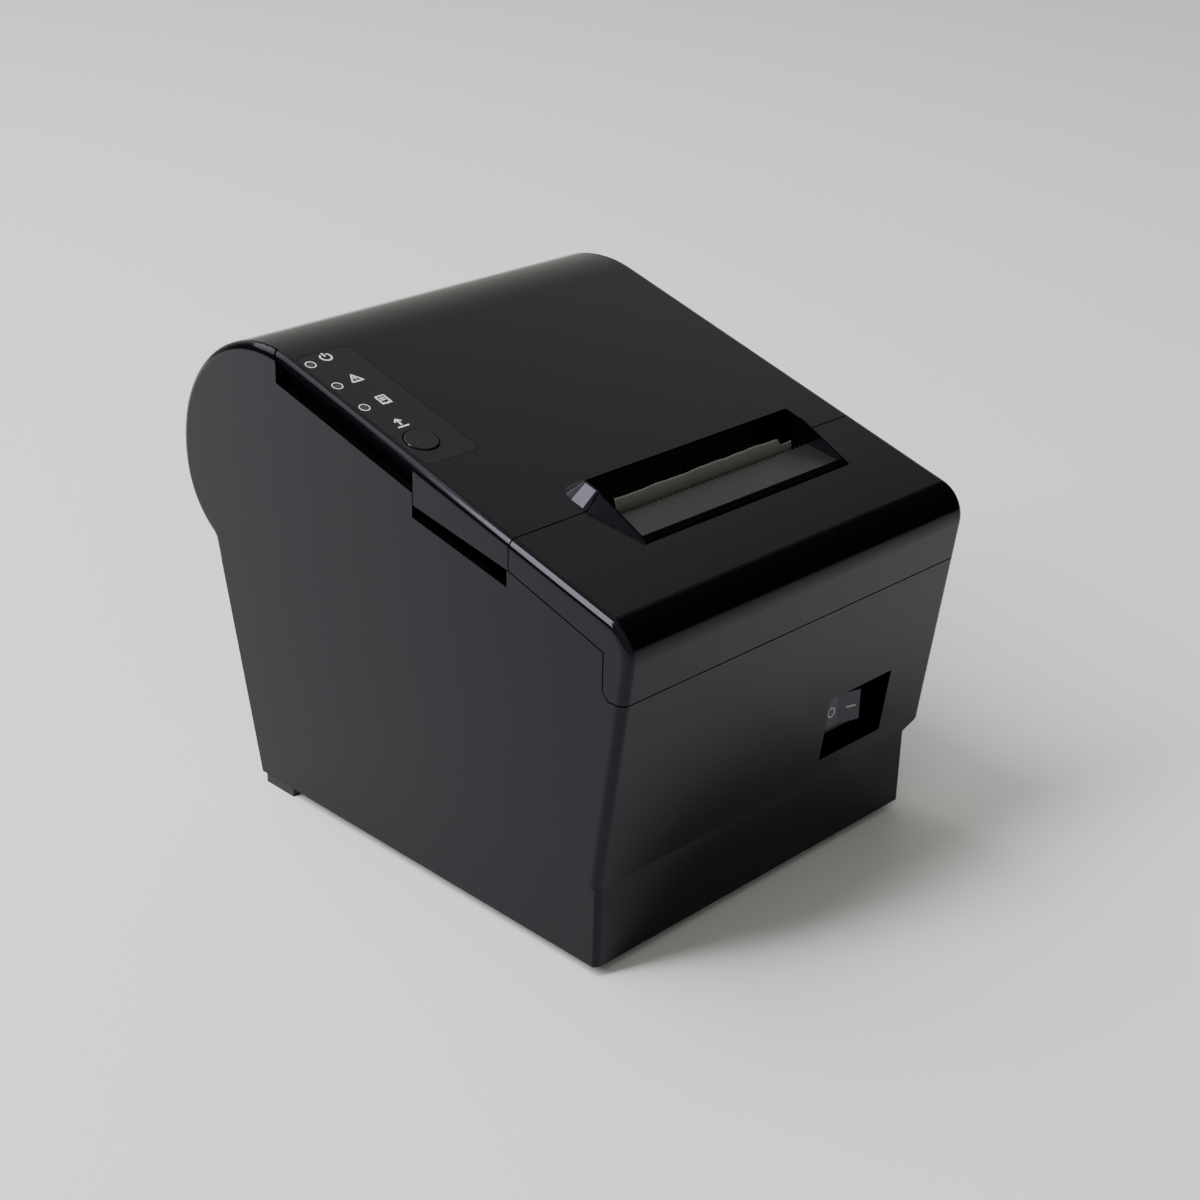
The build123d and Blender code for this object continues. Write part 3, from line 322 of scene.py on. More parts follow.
def edge_wear_group():
    """Mask of the sharp outer edges: how far a rounded normal leaves the true one, broken up."""
    group, entry, leave = new_group("Edge wear", [("Radius", 0.0006), ("Amount", 0.5), ("Scale", 220.0)],
                                    ["Mask"])
    bevel = node(group, "ShaderNodeBevel", samples=6)
    group.links.new(entry.outputs["Radius"], bevel.inputs["Radius"])
    true = group.nodes.new("ShaderNodeNewGeometry")
    dot = node(group, "ShaderNodeVectorMath", operation="DOT_PRODUCT")
    group.links.new(bevel.outputs["Normal"], dot.inputs[0])
    group.links.new(true.outputs["Normal"], dot.inputs[1])
    edge = remap(group, dot.outputs["Value"], 0.98, 0.86)
    broken = remap(group, object_noise(group, entry.outputs["Scale"], 5.0), 0.42, 0.62)
    mask = maths(group, "MULTIPLY", maths(group, "MULTIPLY", edge, broken), entry.outputs["Amount"], True)
    group.links.new(mask, leave.inputs["Mask"])
    return group


def moulding_group():
    """Surface of moulded plastic: a slow waviness with a fine grain over it, and its tone."""
    group, entry, leave = new_group("Moulding", [("Wave Scale", 55.0), ("Grain Scale", 2400.0),
                                                 ("Grain", 0.3)], ["Height", "Tone"])
    wave = object_noise(group, entry.outputs["Wave Scale"], 1.0)
    grain = object_noise(group, entry.outputs["Grain Scale"], 3.0)
    height = maths(group, "ADD", wave, maths(group, "MULTIPLY", grain, entry.outputs["Grain"]))
    group.links.new(height, leave.inputs["Height"])
    group.links.new(object_noise(group, 28.0, 4.0), leave.inputs["Tone"])
    return group


def dust_group():
    """Mask of fine dust: specks on surfaces that face up, thicker in slow patches."""
    group, entry, leave = new_group("Dust", [("Amount", 0.2), ("Speck Scale", 1500.0)], ["Mask"])
    geometry = group.nodes.new("ShaderNodeNewGeometry")
    split = group.nodes.new("ShaderNodeSeparateXYZ")
    group.links.new(geometry.outputs["Normal"], split.inputs["Vector"])
    facing = remap(group, split.outputs["Z"], 0.35, 0.95)
    specks = remap(group, object_noise(group, entry.outputs["Speck Scale"], 2.0), 0.66, 0.74)
    patches = remap(group, object_noise(group, 35.0, 3.0), 0.35, 0.70, 0.15, 1.0)
    mask = maths(group, "MULTIPLY", maths(group, "MULTIPLY", facing, specks),
                 maths(group, "MULTIPLY", patches, entry.outputs["Amount"]), True)
    group.links.new(mask, leave.inputs["Mask"])
    return group


def brushing_group():
    """Fine parallel scratches along X of the frame, and blotches of plating."""
    group, entry, leave = new_group("Brushing", [("Line Scale", 900.0), ("Blotch Scale", 90.0)],
                                    ["Height", "Blotch"])
    lines = object_noise(group, entry.outputs["Line Scale"], 4.0, (0.03, 1.0, 1.0))
    group.links.new(lines, leave.inputs["Height"])
    group.links.new(object_noise(group, entry.outputs["Blotch Scale"], 3.0), leave.inputs["Blotch"])
    return group


def fibre_group():
    """Paper and board: short fibres as stretched noise in two directions, and cloudiness."""
    group, entry, leave = new_group("Fibres", [("Fibre Scale", 1600.0)], ["Height", "Cloud"])
    first = object_noise(group, entry.outputs["Fibre Scale"], 3.0, (0.25, 1.0, 1.0))
    second = object_noise(group, entry.outputs["Fibre Scale"], 3.0, (1.0, 0.3, 0.3))
    group.links.new(maths(group, "ADD", first, second), leave.inputs["Height"])
    group.links.new(object_noise(group, 120.0, 4.0), leave.inputs["Cloud"])
    return group


GROUP_MAKERS = {"Edge wear": edge_wear_group, "Moulding": moulding_group, "Dust": dust_group,
                "Brushing": brushing_group, "Fibres": fibre_group}


def place_group(tree, name, **values):
    """A group node of a shared effect, made the first time that it is asked for."""
    shared = bpy.data.node_groups.get(name) or GROUP_MAKERS[name]()
    placed = tree.nodes.new("ShaderNodeGroup")
    placed.node_tree = shared
    for label, value in values.items():
        placed.inputs[label.replace("_", " ")].default_value = value
    return placed


# ---------------------------------------------------------------------------
# Materials
# ---------------------------------------------------------------------------

def new_material(name, **shader_values):
    """A material with one Principled shader, its even values set on its own sockets."""
    material = bpy.data.materials.new(name)
    material.use_nodes = True
    tree = material.node_tree
    shader = next(n for n in tree.nodes if n.type == "BSDF_PRINCIPLED")
    for label, value in shader_values.items():
        shader.inputs[label.replace("_", " ")].default_value = value
    return material, tree, shader


def mix_colours(tree, factor, first, second):
    """A Mix node of two colours; each is a socket or a colour."""
    made = tree.nodes.new("ShaderNodeMix")
    made.data_type = "RGBA"
    tree.links.new(factor, made.inputs[0])
    for socket, value in ((made.inputs[6], first), (made.inputs[7], second)):
        if isinstance(value, bpy.types.NodeSocket):
            tree.links.new(value, socket)
        else:
            socket.default_value = (*value, 1.0)
    return made.outputs[2]


def bump(tree, shader, height, distance):
    """Bump from a height socket into the shader's normal."""
    made = node(tree, "ShaderNodeBump", Distance=distance)
    tree.links.new(height, made.inputs["Height"])
    tree.links.new(made.outputs["Normal"], shader.inputs["Normal"])


def shade(color, factor):
    """A colour made lighter or darker, kept under 1."""
    return tuple(min(1.0, c * factor) for c in color)


COOL_SHEEN = (0.82, 0.80, 1.0, 1.0)     # tint of the plastic's reflections
DUST_COLOR = (0.34, 0.33, 0.31)


def plastic(name, color, roughness, wave=0.00002, grain=0.05, grain_scale=2400.0, wear=0.25, dust=0.1,
            specular=0.5):
    """Moulded plastic: waviness and grain, cloudy gloss, worn edges and a little dust."""
    material, tree, shader = new_material(name, Specular_IOR_Level=specular, Specular_Tint=COOL_SHEEN)
    skin = place_group(tree, "Moulding", Grain=grain, Grain_Scale=grain_scale)
    edges = place_group(tree, "Edge wear", Amount=wear)
    specks = place_group(tree, "Dust", Amount=dust)
    tone = mix_colours(tree, skin.outputs["Tone"], shade(color, 0.88), shade(color, 1.12))
    worn = mix_colours(tree, edges.outputs["Mask"], tone, shade(color, 2.6))
    dusty = mix_colours(tree, specks.outputs["Mask"], worn, DUST_COLOR)
    tree.links.new(dusty, shader.inputs["Base Color"])
    gloss = remap(tree, skin.outputs["Tone"], 0.30, 0.70, roughness * 0.88, roughness * 1.14)
    duller = maths(tree, "ADD", gloss, maths(tree, "MULTIPLY", edges.outputs["Mask"], 0.25))
    dulled = maths(tree, "ADD", duller, maths(tree, "MULTIPLY", specks.outputs["Mask"], 0.5), True)
    tree.links.new(dulled, shader.inputs["Roughness"])
    bump(tree, shader, skin.outputs["Height"], wave)
    return material


def metal(name, color, roughness, line_scale=900.0, depth=0.000004, wear=0.0):
    """Metal with fine drawn lines, blotchy plating and brighter edges."""
    material, tree, shader = new_material(name, Metallic=1.0)
    lines = place_group(tree, "Brushing", Line_Scale=line_scale)
    edges = place_group(tree, "Edge wear", Amount=wear, Radius=0.0003)
    tone = mix_colours(tree, lines.outputs["Blotch"], shade(color, 0.82), shade(color, 1.12))
    tree.links.new(mix_colours(tree, edges.outputs["Mask"], tone, shade(color, 1.5)),
                   shader.inputs["Base Color"])
    tree.links.new(remap(tree, lines.outputs["Height"], 0.3, 0.7, roughness * 0.8, roughness * 1.25),
                   shader.inputs["Roughness"])
    bump(tree, shader, lines.outputs["Height"], depth)
    return material


def rubber(name, color, roughness=0.62):
    """Dull rubber: open grain, and a bloom of lighter grey."""
    material, tree, shader = new_material(name, Specular_IOR_Level=0.35)
    skin = place_group(tree, "Moulding", Grain=0.9, Grain_Scale=1500.0)
    tree.links.new(mix_colours(tree, skin.outputs["Tone"], shade(color, 0.75), shade(color, 1.5)),
                   shader.inputs["Base Color"])
    tree.links.new(remap(tree, skin.outputs["Tone"], 0.3, 0.7, roughness * 0.9, roughness * 1.12),
                   shader.inputs["Roughness"])
    bump(tree, shader, skin.outputs["Height"], 0.00006)
    return material


def paper(name, color, roughness=0.50, fibre=0.000010):
    """Paper or board: fibres and a faint cloudiness."""
    material, tree, shader = new_material(name, Specular_IOR_Level=0.4)
    fibres = place_group(tree, "Fibres")
    tree.links.new(mix_colours(tree, fibres.outputs["Cloud"], shade(color, 0.93), shade(color, 1.05)),
                   shader.inputs["Base Color"])
    tree.links.new(remap(tree, fibres.outputs["Cloud"], 0.3, 0.7, roughness * 0.9, roughness * 1.1),
                   shader.inputs["Roughness"])
    bump(tree, shader, fibres.outputs["Height"], fibre)
    return material


def wound_paper(name, color, pitch, axis_y, axis_z):
    """Edges of wound paper: rings around the roll's axis, and fibres."""
    material, tree, shader = new_material(name, Specular_IOR_Level=0.35)
    place = tree.nodes.new("ShaderNodeTexCoord")
    centre = node(tree, "ShaderNodeMapping")
    centre.inputs["Location"].default_value = (0.0, -axis_y, -axis_z)
    rings = node(tree, "ShaderNodeTexWave", wave_type="RINGS", rings_direction="X", Scale=0.314 / pitch,
                 Distortion=0.6, Detail=2.0)
    tree.links.new(place.outputs["Object"], centre.inputs["Vector"])
    tree.links.new(centre.outputs["Vector"], rings.inputs["Vector"])
    fibres = place_group(tree, "Fibres")
    ringed = mix_colours(tree, rings.outputs["Fac"], shade(color, 0.80), color)
    tree.links.new(mix_colours(tree, fibres.outputs["Cloud"], ringed, shade(color, 1.04)),
                   shader.inputs["Base Color"])
    tree.links.new(remap(tree, rings.outputs["Fac"], 0.0, 1.0, 0.70, 0.55), shader.inputs["Roughness"])
    bump(tree, shader, rings.outputs["Fac"], 0.00008)
    return material


def circuit_board(name, color):
    """Solder mask with faint tracks under it, as thin cells, and pads."""
    material, tree, shader = new_material(name, Coat_Roughness=0.25)
    place = tree.nodes.new("ShaderNodeTexCoord")
    tracks = node(tree, "ShaderNodeTexBrick", Scale=120.0, Mortar_Size=0.012, Brick_Width=0.7,
                  Row_Height=0.22)
    tree.links.new(place.outputs["Object"], tracks.inputs["Vector"])
    skin = place_group(tree, "Moulding", Grain=0.4, Grain_Scale=900.0)
    copper = mix_colours(tree, tracks.outputs["Fac"], color, shade(color, 1.9))
    tree.links.new(mix_colours(tree, skin.outputs["Tone"], copper, shade(color, 0.7)),
                   shader.inputs["Base Color"])
    tree.links.new(remap(tree, skin.outputs["Tone"], 0.3, 0.7, 0.28, 0.42), shader.inputs["Roughness"])
    bump(tree, shader, tracks.outputs["Fac"], 0.00003)
    return material


def ink(name, color):
    """Screen-printed ink: matt, with pinholes where the film thins."""
    material, tree, shader = new_material(name, Specular_IOR_Level=0.4)
    skin = place_group(tree, "Moulding", Grain=0.8, Grain_Scale=5000.0)
    tree.links.new(mix_colours(tree, skin.outputs["Tone"], shade(color, 0.86), shade(color, 1.06)),
                   shader.inputs["Base Color"])
    tree.links.new(remap(tree, skin.outputs["Tone"], 0.3, 0.7, 0.40, 0.55), shader.inputs["Roughness"])
    bump(tree, shader, skin.outputs["Height"], 0.00001)
    return material


def put_finish(material, slots):
    """Gives the CAD nodes whose record slot is one of these this material."""
    for name, cad in NODES.items():
        if SLOT_OF[name] in slots:
            for k in range(len(cad.material_slots)):
                cad.material_slots[k].material = material


# ---------------------------------------------------------------------------
# Operators: one for each piece or group of like pieces
# ---------------------------------------------------------------------------

class PRINTER_OT_FinishPlastic(bpy.types.Operator):
    """Polished casing and covers, satin panel, tear plate and moulded inner parts."""
    bl_idname = "printer.finish_plastic"
    bl_label = "Finish plastic"

    def execute(self, context):
        s = context.scene.printer_plastic
        put_finish(plastic("Polished shell", s.shell_color, s.shell_roughness, wave=0.000035, grain=0.012,
                           wear=s.wear, dust=s.dust, specular=0.22), ["gloss_black"])
        put_finish(plastic("Panel film", s.panel_color, 0.20, grain=0.15, grain_scale=3200.0, wear=0.15,
                           dust=s.dust, specular=0.25), ["panel_satin"])
        put_finish(plastic("Key cap", s.shell_color, 0.16, grain=0.06, wear=0.35, dust=s.dust, specular=0.34),
                   ["button_black"])
        put_finish(plastic("Rocker", shade(s.shell_color, 1.3), 0.26, grain=0.10, wear=0.35, dust=0.05),
                   ["rocker_black"])
        put_finish(plastic("Switch frame", s.inner_color, 0.42, grain=0.30, wear=0.2, dust=0.05),
                   ["switch_black", "socket_black", "component_black"])
        put_finish(plastic("Tear plate", s.tear_color, 0.38, grain=0.35, grain_scale=1800.0, wear=0.3,
                           dust=0.3), ["tear_plastic"])
        put_finish(plastic("Moulded inner plastic", s.inner_color, 0.48, wave=0.00005, grain=0.55,
                           grain_scale=1500.0, wear=0.2, dust=0.3), ["matte_black"])
        put_finish(plastic("Grey socket", (0.035, 0.035, 0.037), 0.45, grain=0.4, wear=0.2, dust=0.1),
                   ["socket_grey"])
        put_finish(plastic("Natural gear plastic", (0.60, 0.58, 0.52), 0.42, grain=0.2, wear=0.1, dust=0.1),
                   ["nylon_white"])
        put_finish(plastic("Smoked light pipe", (0.030, 0.030, 0.032), 0.12, grain=0.02, wear=0.0, dust=0.1),
                   ["light_pipe"])
        return {"FINISHED"}


class PRINTER_OT_FinishMetal(bpy.types.Operator):
    """Plated sheet, ground steel, blades, springs, motors, brass and aluminium."""
    bl_idname = "printer.finish_metal"
    bl_label = "Finish metal"

    def execute(self, context):
        s = context.scene.printer_metal
        put_finish(metal("Plated sheet", s.sheet_color, 0.34, wear=0.4), ["zinc_steel"])
        put_finish(metal("Ground steel", s.ground_color, 0.20, line_scale=1800.0), ["bright_steel"])
        put_finish(metal("Spring strip", shade(s.sheet_color, 0.85), 0.28), ["spring_steel"])
        put_finish(metal("Motor can", shade(s.sheet_color, 0.9), 0.38, line_scale=600.0, wear=0.3),
                   ["motor_steel"])
        put_finish(metal("Blade steel", s.ground_color, 0.16, line_scale=2400.0, wear=0.5), ["blade_steel"])
        put_finish(metal("Machined brass", s.brass_color, 0.24, wear=0.3), ["brass_plain"])
        put_finish(metal("Drawn aluminium", s.aluminium_color, 0.36, line_scale=700.0), ["sink_aluminium"])
        put_finish(metal("Tinned shell", shade(s.ground_color, 1.05), 0.26, wear=0.3), ["socket_metal"])
        return {"FINISHED"}


class PRINTER_OT_FinishSoftParts(bpy.types.Operator):
    """Rubber feet and platen, glazed print strip, circuit boards, paper and core."""
    bl_idname = "printer.finish_soft_parts"
    bl_label = "Finish rubber, boards and paper"

    def execute(self, context):
        s = context.scene.printer_paper
        put_finish(rubber("Foot rubber", (0.018, 0.018, 0.018)), ["rubber_black"])
        put_finish(rubber("Platen rubber", (0.022, 0.022, 0.024), 0.48), ["platen_rubber"])
        put_finish(plastic("Glazed print strip", (0.52, 0.48, 0.40), 0.10, grain=0.0, wear=0.0, dust=0.1),
                   ["head_ceramic"])
        put_finish(circuit_board("Solder mask", (0.012, 0.085, 0.030)), ["board_green"])
        put_finish(paper("Coated paper", s.paper_color), ["thermal_paper"])
        put_finish(paper("Wound board", s.core_color, 0.75, 0.00003), ["core_board"])
        return {"FINISHED"}


class PRINTER_OT_PaperRoll(bpy.types.Operator):
    """The wound roll, with the edges of its layers stepping in and out at both ends."""
    bl_idname = "printer.paper_roll"
    bl_label = "Paper roll"

    def execute(self, context):
        """Profile turned about X: along each end face the radius grows by one layer a step, and X
        steps in by a seeded random share of a tenth of a millimetre or so; the rim is straight."""
        s = context.scene.printer_paper
        low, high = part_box("paper_roll")
        core_low, core_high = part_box("roll_core")
        axis_y, axis_z = (low.y + high.y) / 2, (low.z + high.z) / 2
        inner, outer = (core_high.z - core_low.z) / 2 + 0.00005, (high.z - low.z) / 2 - 0.00002
        rings = max(8, int((outer - inner) / s.layer))
        rng = np.random.default_rng(7)
        radius = np.repeat(np.linspace(inner, outer, rings + 1), 2)[1:-1]
        left_step, right_step = (np.repeat(rng.uniform(0.00002, 0.00016, rings), 2) for _ in range(2))
        left = np.stack([low.x + left_step, radius], axis=1)
        right = np.stack([high.x - right_step, radius], axis=1)[::-1]
        profile = np.concatenate([left, right])
        turn = np.linspace(0, 2 * math.pi, 144, endpoint=False)
        x = np.broadcast_to(profile[:, 0], (len(turn), len(profile)))
        y = axis_y + np.outer(np.cos(turn), profile[:, 1])
        z = axis_z + np.outer(np.sin(turn), profile[:, 1])
        mesh = surface("roll", np.stack([x, y, z], axis=-1), closed_u=True, closed_v=True)
        material = wound_paper("Wound paper", s.paper_color, s.layer, axis_y, axis_z)
        roll = add_piece("wound_roll", [mesh], "roll", material, smooth=False)
        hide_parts("paper_roll")
        return {"FINISHED"}


class PRINTER_OT_Receipt(bpy.types.Operator):
    """The end of the receipt, torn along the serrated bar, leaning back out of the exit."""
    bl_idname = "printer.receipt"
    bl_label = "Receipt end"

    def execute(self, context):
        """A sheet over across u and up v: y follows a smooth curve through the cut line, the tear
        line and the top, with a slow ripple across that grows upwards; the top edge is a triangle
        wave on a slow wander, and it drops near the right end where a strip tore away."""
        s = context.scene.printer_paper
        low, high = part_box("receipt_end")
        columns, rows = 420, 30
        strip_drop, strip_width, strip_blur = 0.0019, 0.0052, 0.00025
        rear_inset, front_inset, ripple, tear_height = 0.0004, 0.0003, 0.00018, 0.58
        x = np.linspace(low.x, high.x, columns)
        teeth = np.abs((x / s.tooth_pitch) % 1.0 - 0.5) * 2.0
        wander = 0.00010 * np.sin(x * 310.0) + 0.00006 * np.sin(x * 730.0 + 1.0)
        strip = strip_drop / (1.0 + np.exp(-(x - (high.x - strip_width)) / strip_blur))
        top = high.z - 0.00060 - s.tooth_depth * teeth + wander - strip
        z = low.z + np.outer(top - low.z, np.linspace(0, 1, rows))
        height = (z - low.z) / (high.z - low.z)
        above = np.clip((height - tear_height) / (1.0 - tear_height), 0, 1)
        bow = np.where(height < tear_height, np.sin(height / tear_height * math.pi / 2),
                       np.cos(above * math.pi / 2) * 0.98 + 0.02)
        y = high.y - rear_inset - (high.y - low.y - rear_inset - front_inset) * bow
        y = y + ripple * height * np.sin(x * 95.0)[:, None]
        mesh = surface("receipt", np.stack([np.broadcast_to(x[:, None], z.shape), y, z], axis=-1))
        # The receipt paper takes the darkened colour, painted shade over white paper
        material = paper("Receipt paper", s.receipt_painted_shade_color)
        end = add_piece("receipt", [mesh], "case", material)
        solidify = end.modifiers.new("Thickness", "SOLIDIFY")
        solidify.thickness, solidify.offset = s.thickness, 0.0
        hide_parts("receipt_end")
        return {"FINISHED"}


class PRINTER_OT_SocketContacts(bpy.types.Operator):
    """Gold wire contacts of the two modular sockets, and the centre pin of the power inlet."""
    bl_idname = "printer.socket_contacts"
    bl_label = "Socket contacts"

    def execute(self, context):
        """Each wire is a ribbon along a quarter wave: y runs in from the mouth and z is the floor of
        the socket plus rise sin(pi v / 2). The pin is a profile turned about Y, straight and then
        r sqrt(1 - t^2) over the last radius of its length."""
        s = context.scene.printer_contacts
        steel = context.scene.printer_metal
        gold = metal("Contact gold", steel.brass_color, 0.22)
        floor_below_middle, mouth_inset, reach, rise = 0.0040, 0.0016, 0.0055, 0.0022
        v = np.linspace(0, 1, 20)
        for name, count, pitch in (("drawer", 6, s.drawer_pitch), ("network", 8, s.network_pitch)):
            low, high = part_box(f"{name}_socket")
            floor_z = (low.z + high.z) / 2 - floor_below_middle
            y = high.y - mouth_inset - reach * v
            z = floor_z + 0.0003 + rise * np.sin(v * math.pi / 2)
            first = (low.x + high.x) / 2 - (count - 1) / 2 * pitch
            wires = [ribbon("wire", np.stack([np.full(len(v), first + k * pitch), y, z], axis=1),
                            (0, 0, 1), s.wire, s.wire * 0.6) for k in range(count)]
            add_piece(f"{name}_contacts", wires, "case", gold)

        low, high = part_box("power_socket")
        root_depth, nose_inset, tip_share = 0.0052, 0.0030, 0.03
        turn = np.linspace(0, 2 * math.pi, 32, endpoint=False)
        t = np.linspace(0, 1, 9)
        along = np.append(low.y + root_depth, high.y - nose_inset - s.pin_radius * (1 - t))
        round_nose = s.pin_radius * np.sqrt(np.clip(1 - t ** 2, tip_share ** 2, 1))
        radius = np.append(s.pin_radius, round_nose)
        ring = np.stack([(low.x + high.x) / 2 + np.outer(radius, np.cos(turn)),
                         np.broadcast_to(along[:, None], (len(along), len(turn))),
                         (low.z + high.z) / 2 + np.outer(radius, np.sin(turn))], axis=-1)
        add_piece("inlet_pin", [surface("pin", ring, closed_v=True, cap=True)], "case",
                  metal("Pin nickel", steel.ground_color, 0.18))
        return {"FINISHED"}


class PRINTER_OT_PanelMarks(bpy.types.Operator):
    """Pictograms for power, fault, paper and feed, printed on the control panel."""
    bl_idname = "printer.panel_marks"
    bl_label = "Panel pictograms"

    def execute(self, context):
        """Each stroke is a thin rectangle carried along a line or an arc on the sloping panel."""
        s = context.scene.printer_marks
        half = s.size / 2
        marks = {
            "power": [circle_path(half * 0.88, math.radians(125), math.radians(290)),
                      polyline([(0, half * 0.15), (0, half * 1.1)])],
            "fault": [polyline([(-half, -half * 0.8), (half, -half * 0.8), (0, half), (-half, -half * 0.8)]),
                      polyline([(0, half * 0.35), (0, -half * 0.2)]),
                      polyline([(0, -half * 0.42), (0, -half * 0.56)], 2)],
            "paper": [polyline([(-half * 0.75, -half), (-half * 0.75, half), (half * 0.75, half),
                                (half * 0.75, -half), (half * 0.38, -half * 0.7), (0, -half),
                                (-half * 0.38, -half * 0.7), (-half * 0.75, -half)]),
                      polyline([(-half * 0.4, half * 0.45), (half * 0.4, half * 0.45)]),
                      polyline([(-half * 0.4, 0), (half * 0.4, 0)])],
            "feed": [polyline([(-half, -half * 0.9), (half, -half * 0.9)]),
                     polyline([(0, -half * 0.5), (0, half)]),
                     polyline([(-half * 0.6, half * 0.35), (0, half), (half * 0.6, half * 0.35)])],
        }
        centres = {"power": (-0.0598, 0.0400), "fault": (-0.0592, 0.0276), "paper": (-0.0588, 0.0154),
                   "feed": (-0.0624, 0.0042)}
        lamp_x, lamp_rows, lamp_ring = -0.0666, (0.0385, 0.0265, 0.0145), 0.00155

        def on_panel(x, y, path):
            """A flat drawing centred on a point of the panel, just above its film."""
            origin = np.array((x, y, TOP_HEIGHT + TOP_SLOPE * y)) + OUTWARD * INK_LIFT
            return on_plane(origin, ACROSS, UPHILL, path)

        meshes = [ribbon("lamp", on_panel(lamp_x, y, circle_path(lamp_ring)), OUTWARD, s.stroke * 0.6,
                         s.film, closed=True) for y in lamp_rows]
        for name, strokes in marks.items():
            meshes += [ribbon(name, on_panel(*centres[name], path), OUTWARD, s.stroke, s.film)
                       for path in strokes]
        add_piece("panel_marks", meshes, "lid", ink("White print", s.ink_color), smooth=False)
        return {"FINISHED"}


class PRINTER_OT_RockerMarks(bpy.types.Operator):
    """Ring and bar printed on the two faces of the rocker."""
    bl_idname = "printer.rocker_marks"
    bl_label = "Rocker marks"

    def execute(self, context):
        """The ring is a stroke along a circle on the left face, the bar one along a short line on
        the right face; both faces lean towards the middle of the rocker by the same angle."""
        s = context.scene.printer_marks
        low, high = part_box("power_rocker")
        pin_low, pin_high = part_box("rocker_pin")
        pin = np.array(((pin_low.x + pin_high.x) / 2, (pin_low.y + pin_high.y) / 2, (low.z + high.z) / 2))
        half_width, edge_depth, middle_depth, off_tilt = 0.0082, 0.0045, 0.0034, math.radians(-8.0)
        lean = math.atan2(edge_depth - middle_depth, half_width)
        turn = np.array(Matrix.Rotation(off_tilt, 3, "Z"))
        meshes = []
        for side, offset, path in ((-1, 0.0030, circle_path(0.0015)),
                                   (1, 0.0050, polyline([(-0.0017, 0), (0.0017, 0)]))):
            depth = middle_depth + (edge_depth - middle_depth) * offset / half_width
            right = turn @ np.array((math.cos(lean), -side * math.sin(lean), 0.0))
            outward = turn @ np.array((-side * math.sin(lean), -math.cos(lean), 0.0))
            origin = pin + turn @ np.array((side * offset, -depth, 0.0)) + outward * INK_LIFT
            placed = on_plane(origin, right, (0, 0, 1), path)
            meshes.append(ribbon("mark", placed, outward, s.stroke, s.film, closed=side < 0))
        grey = ink("Rocker print", shade(s.ink_color, 0.4))
        add_piece("rocker_marks", meshes, "rocker", grey, smooth=False)
        return {"FINISHED"}


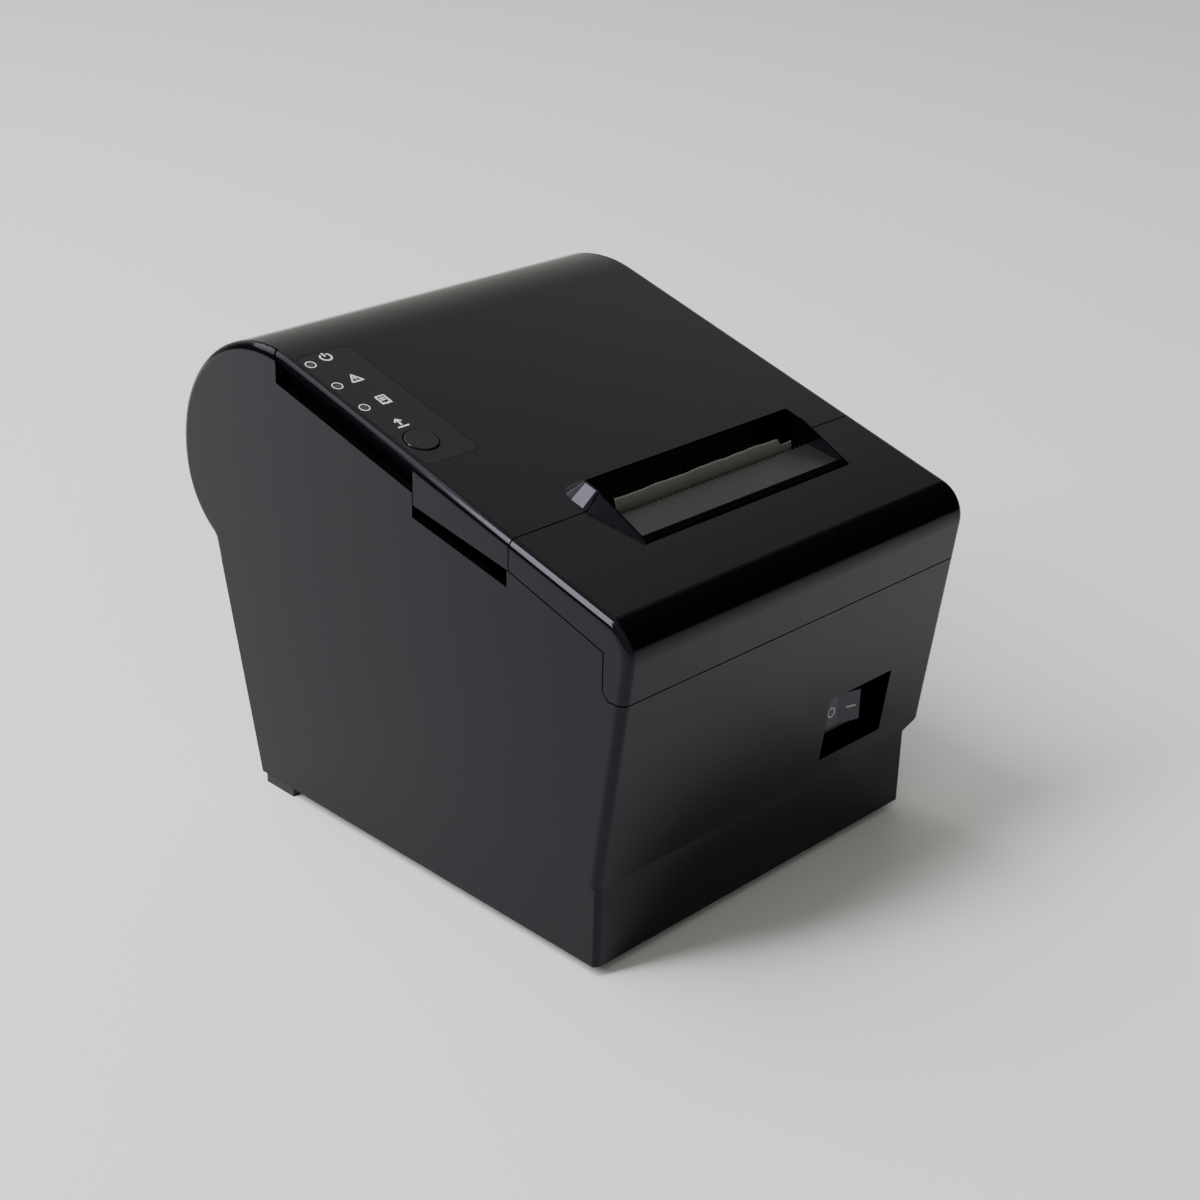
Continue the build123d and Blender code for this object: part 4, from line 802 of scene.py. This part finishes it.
class PRINTER_OT_Studio(bpy.types.Operator):
    """Pale floor, two soft boxes, studio walls as a world, and the camera."""
    bl_idname = "printer.studio"
    bl_label = "Floor, light and camera"

    def execute(self, context):
        s = context.scene.printer_studio
        scene = context.scene
        angle = np.linspace(0, 2 * math.pi, 96, endpoint=False)
        radius = np.array((0.001, 0.3 * s.floor_radius, s.floor_radius))
        disc = np.stack([np.outer(np.cos(angle), radius), np.outer(np.sin(angle), radius),
                         np.zeros((len(angle), len(radius)))], axis=-1)
        mesh = surface("floor", disc, closed_u=True)
        if mesh.polygons[0].normal.z < 0:
            mesh.flip_normals()
        floor = bpy.data.objects.new("studio_floor", mesh)
        scene.collection.objects.link(floor)
        material, tree, shader = new_material("Pale floor", Roughness=0.9, Specular_IOR_Level=0.1)
        tree.links.new(mix_colours(tree, object_noise(tree, 3.0), s.floor_color, shade(s.floor_color, 1.01)),
                       shader.inputs["Base Color"])
        mesh.materials.append(material)

        target = Vector((0.0, 0.0, 0.07))

        def soft_box(name, direction, along, distance, size, power):
            """A rectangular lamp that faces the printer, its long side along the given direction."""
            data = bpy.data.lights.new(name, "AREA")
            data.shape, data.size, data.size_y, data.energy = "RECTANGLE", size[0], size[1], power
            lamp = bpy.data.objects.new(name, data)
            back = Vector(direction).normalized()
            side = (Vector(along) - back * back.dot(Vector(along))).normalized()
            turn = Matrix((side, back.cross(side), back)).transposed()
            lamp.matrix_world = Matrix.Translation(target + back * distance) @ turn.to_4x4()
            scene.collection.objects.link(lamp)

        soft_box("key_soft_box", (-0.60, 0.24, 0.76), (0.65, -0.15, 0.56), 2.0, (1.8, 0.5), s.key_power)
        soft_box("overhead_soft_box", (-0.15, 0.60, 0.78), (1.0, 0.0, 0.0), 2.5, (1.8, 1.8), s.top_power)

        world = bpy.data.worlds.new("Studio walls")
        scene.world = world
        world.use_nodes = True
        tree = world.node_tree
        background = next(n for n in tree.nodes if n.type == "BACKGROUND")
        place = tree.nodes.new("ShaderNodeTexCoord")

        def towards(direction):
            """How far a direction of the world lies along this one."""
            dot = node(tree, "ShaderNodeVectorMath", operation="DOT_PRODUCT")
            tree.links.new(place.outputs["Generated"], dot.inputs[0])
            dot.inputs[1].default_value = Vector(direction).normalized()
            return dot.outputs["Value"]

        horizon = remap(tree, maths(tree, "ABSOLUTE", towards((0, 0, 1))), 0.0, 0.75, 0.85, 1.05)
        front_dark = remap(tree, towards((0.60, -0.45, 0.50)), 0.64, 0.78, 1.0, 0.03)
        rear_dark = remap(tree, towards((-0.55, 0.62, 0.50)), 0.70, 0.88, 1.0, 0.10)
        strength = s.sky
        for mask in (horizon, front_dark, rear_dark):
            strength = maths(tree, "MULTIPLY", strength, mask)
        seen = node(tree, "ShaderNodeLightPath")
        level = tree.nodes.new("ShaderNodeMix")
        level.data_type = "FLOAT"
        tree.links.new(seen.outputs["Is Camera Ray"], level.inputs[0])
        tree.links.new(strength, level.inputs[2])
        level.inputs[3].default_value = 0.95
        tree.links.new(level.outputs[0], background.inputs["Strength"])
        background.inputs["Color"].default_value = (1.0, 0.975, 0.91, 1.0)

        data = bpy.data.cameras.new("camera")
        data.sensor_width, data.lens = 36.0, s.lens
        data.clip_start, data.clip_end = 0.01, 50.0
        camera = bpy.data.objects.new("camera", data)
        scene.collection.objects.link(camera)
        right = Vector((0.70330, -0.71048, 0.02427)).normalized()
        up = Vector((0.28864, 0.31659, 0.90358)).normalized()
        back = right.cross(up).normalized()
        up = back.cross(right)
        turn = Matrix((right, up, back)).transposed()
        camera.matrix_world = Matrix.Translation((-0.43557, -0.43726, 0.35561)) @ turn.to_4x4()
        scene.camera = camera
        return {"FINISHED"}


class PRINTER_PT_Panel(bpy.types.Panel):
    """Lists the settings and the operators."""
    bl_idname = "PRINTER_PT_panel"
    bl_label = "Receipt printer"
    bl_space_type = "VIEW_3D"
    bl_region_type = "UI"
    bl_category = "Receipt printer"

    def draw(self, context):
        for key, label in SETTINGS:
            box = self.layout.box()
            box.label(text=label)
            group = getattr(context.scene, key)
            for name in group.bl_rna.properties.keys():
                if name not in ("rna_type", "name"):
                    box.prop(group, name)
        for operator in OPERATORS:
            self.layout.operator(operator.bl_idname)


SETTINGS = [("printer_plastic", "Plastic"), ("printer_metal", "Metal"), ("printer_paper", "Paper"),
            ("printer_contacts", "Contacts"), ("printer_marks", "Marks"), ("printer_studio", "Studio")]
GROUPS = [PRINTER_PG_Plastic, PRINTER_PG_Metal, PRINTER_PG_Paper, PRINTER_PG_Contacts, PRINTER_PG_Marks,
          PRINTER_PG_Studio]
OPERATORS = [PRINTER_OT_Studio, PRINTER_OT_FinishPlastic, PRINTER_OT_FinishMetal, PRINTER_OT_FinishSoftParts,
             PRINTER_OT_PaperRoll, PRINTER_OT_Receipt, PRINTER_OT_SocketContacts, PRINTER_OT_PanelMarks,
             PRINTER_OT_RockerMarks]


def register():
    for cls in [*GROUPS, *OPERATORS, PRINTER_PT_Panel]:
        bpy.utils.register_class(cls)
    for (key, label), cls in zip(SETTINGS, GROUPS):
        setattr(bpy.types.Scene, key, bpy.props.PointerProperty(type=cls, name=label))


def unregister():
    for key, _ in SETTINGS:
        delattr(bpy.types.Scene, key)
    for cls in reversed([*GROUPS, *OPERATORS, PRINTER_PT_Panel]):
        bpy.utils.unregister_class(cls)


def main():
    register()
    for operator in OPERATORS:
        space, name = operator.bl_idname.split(".")
        getattr(getattr(bpy.ops, space), name)()


if __name__ == "__main__":
    main()
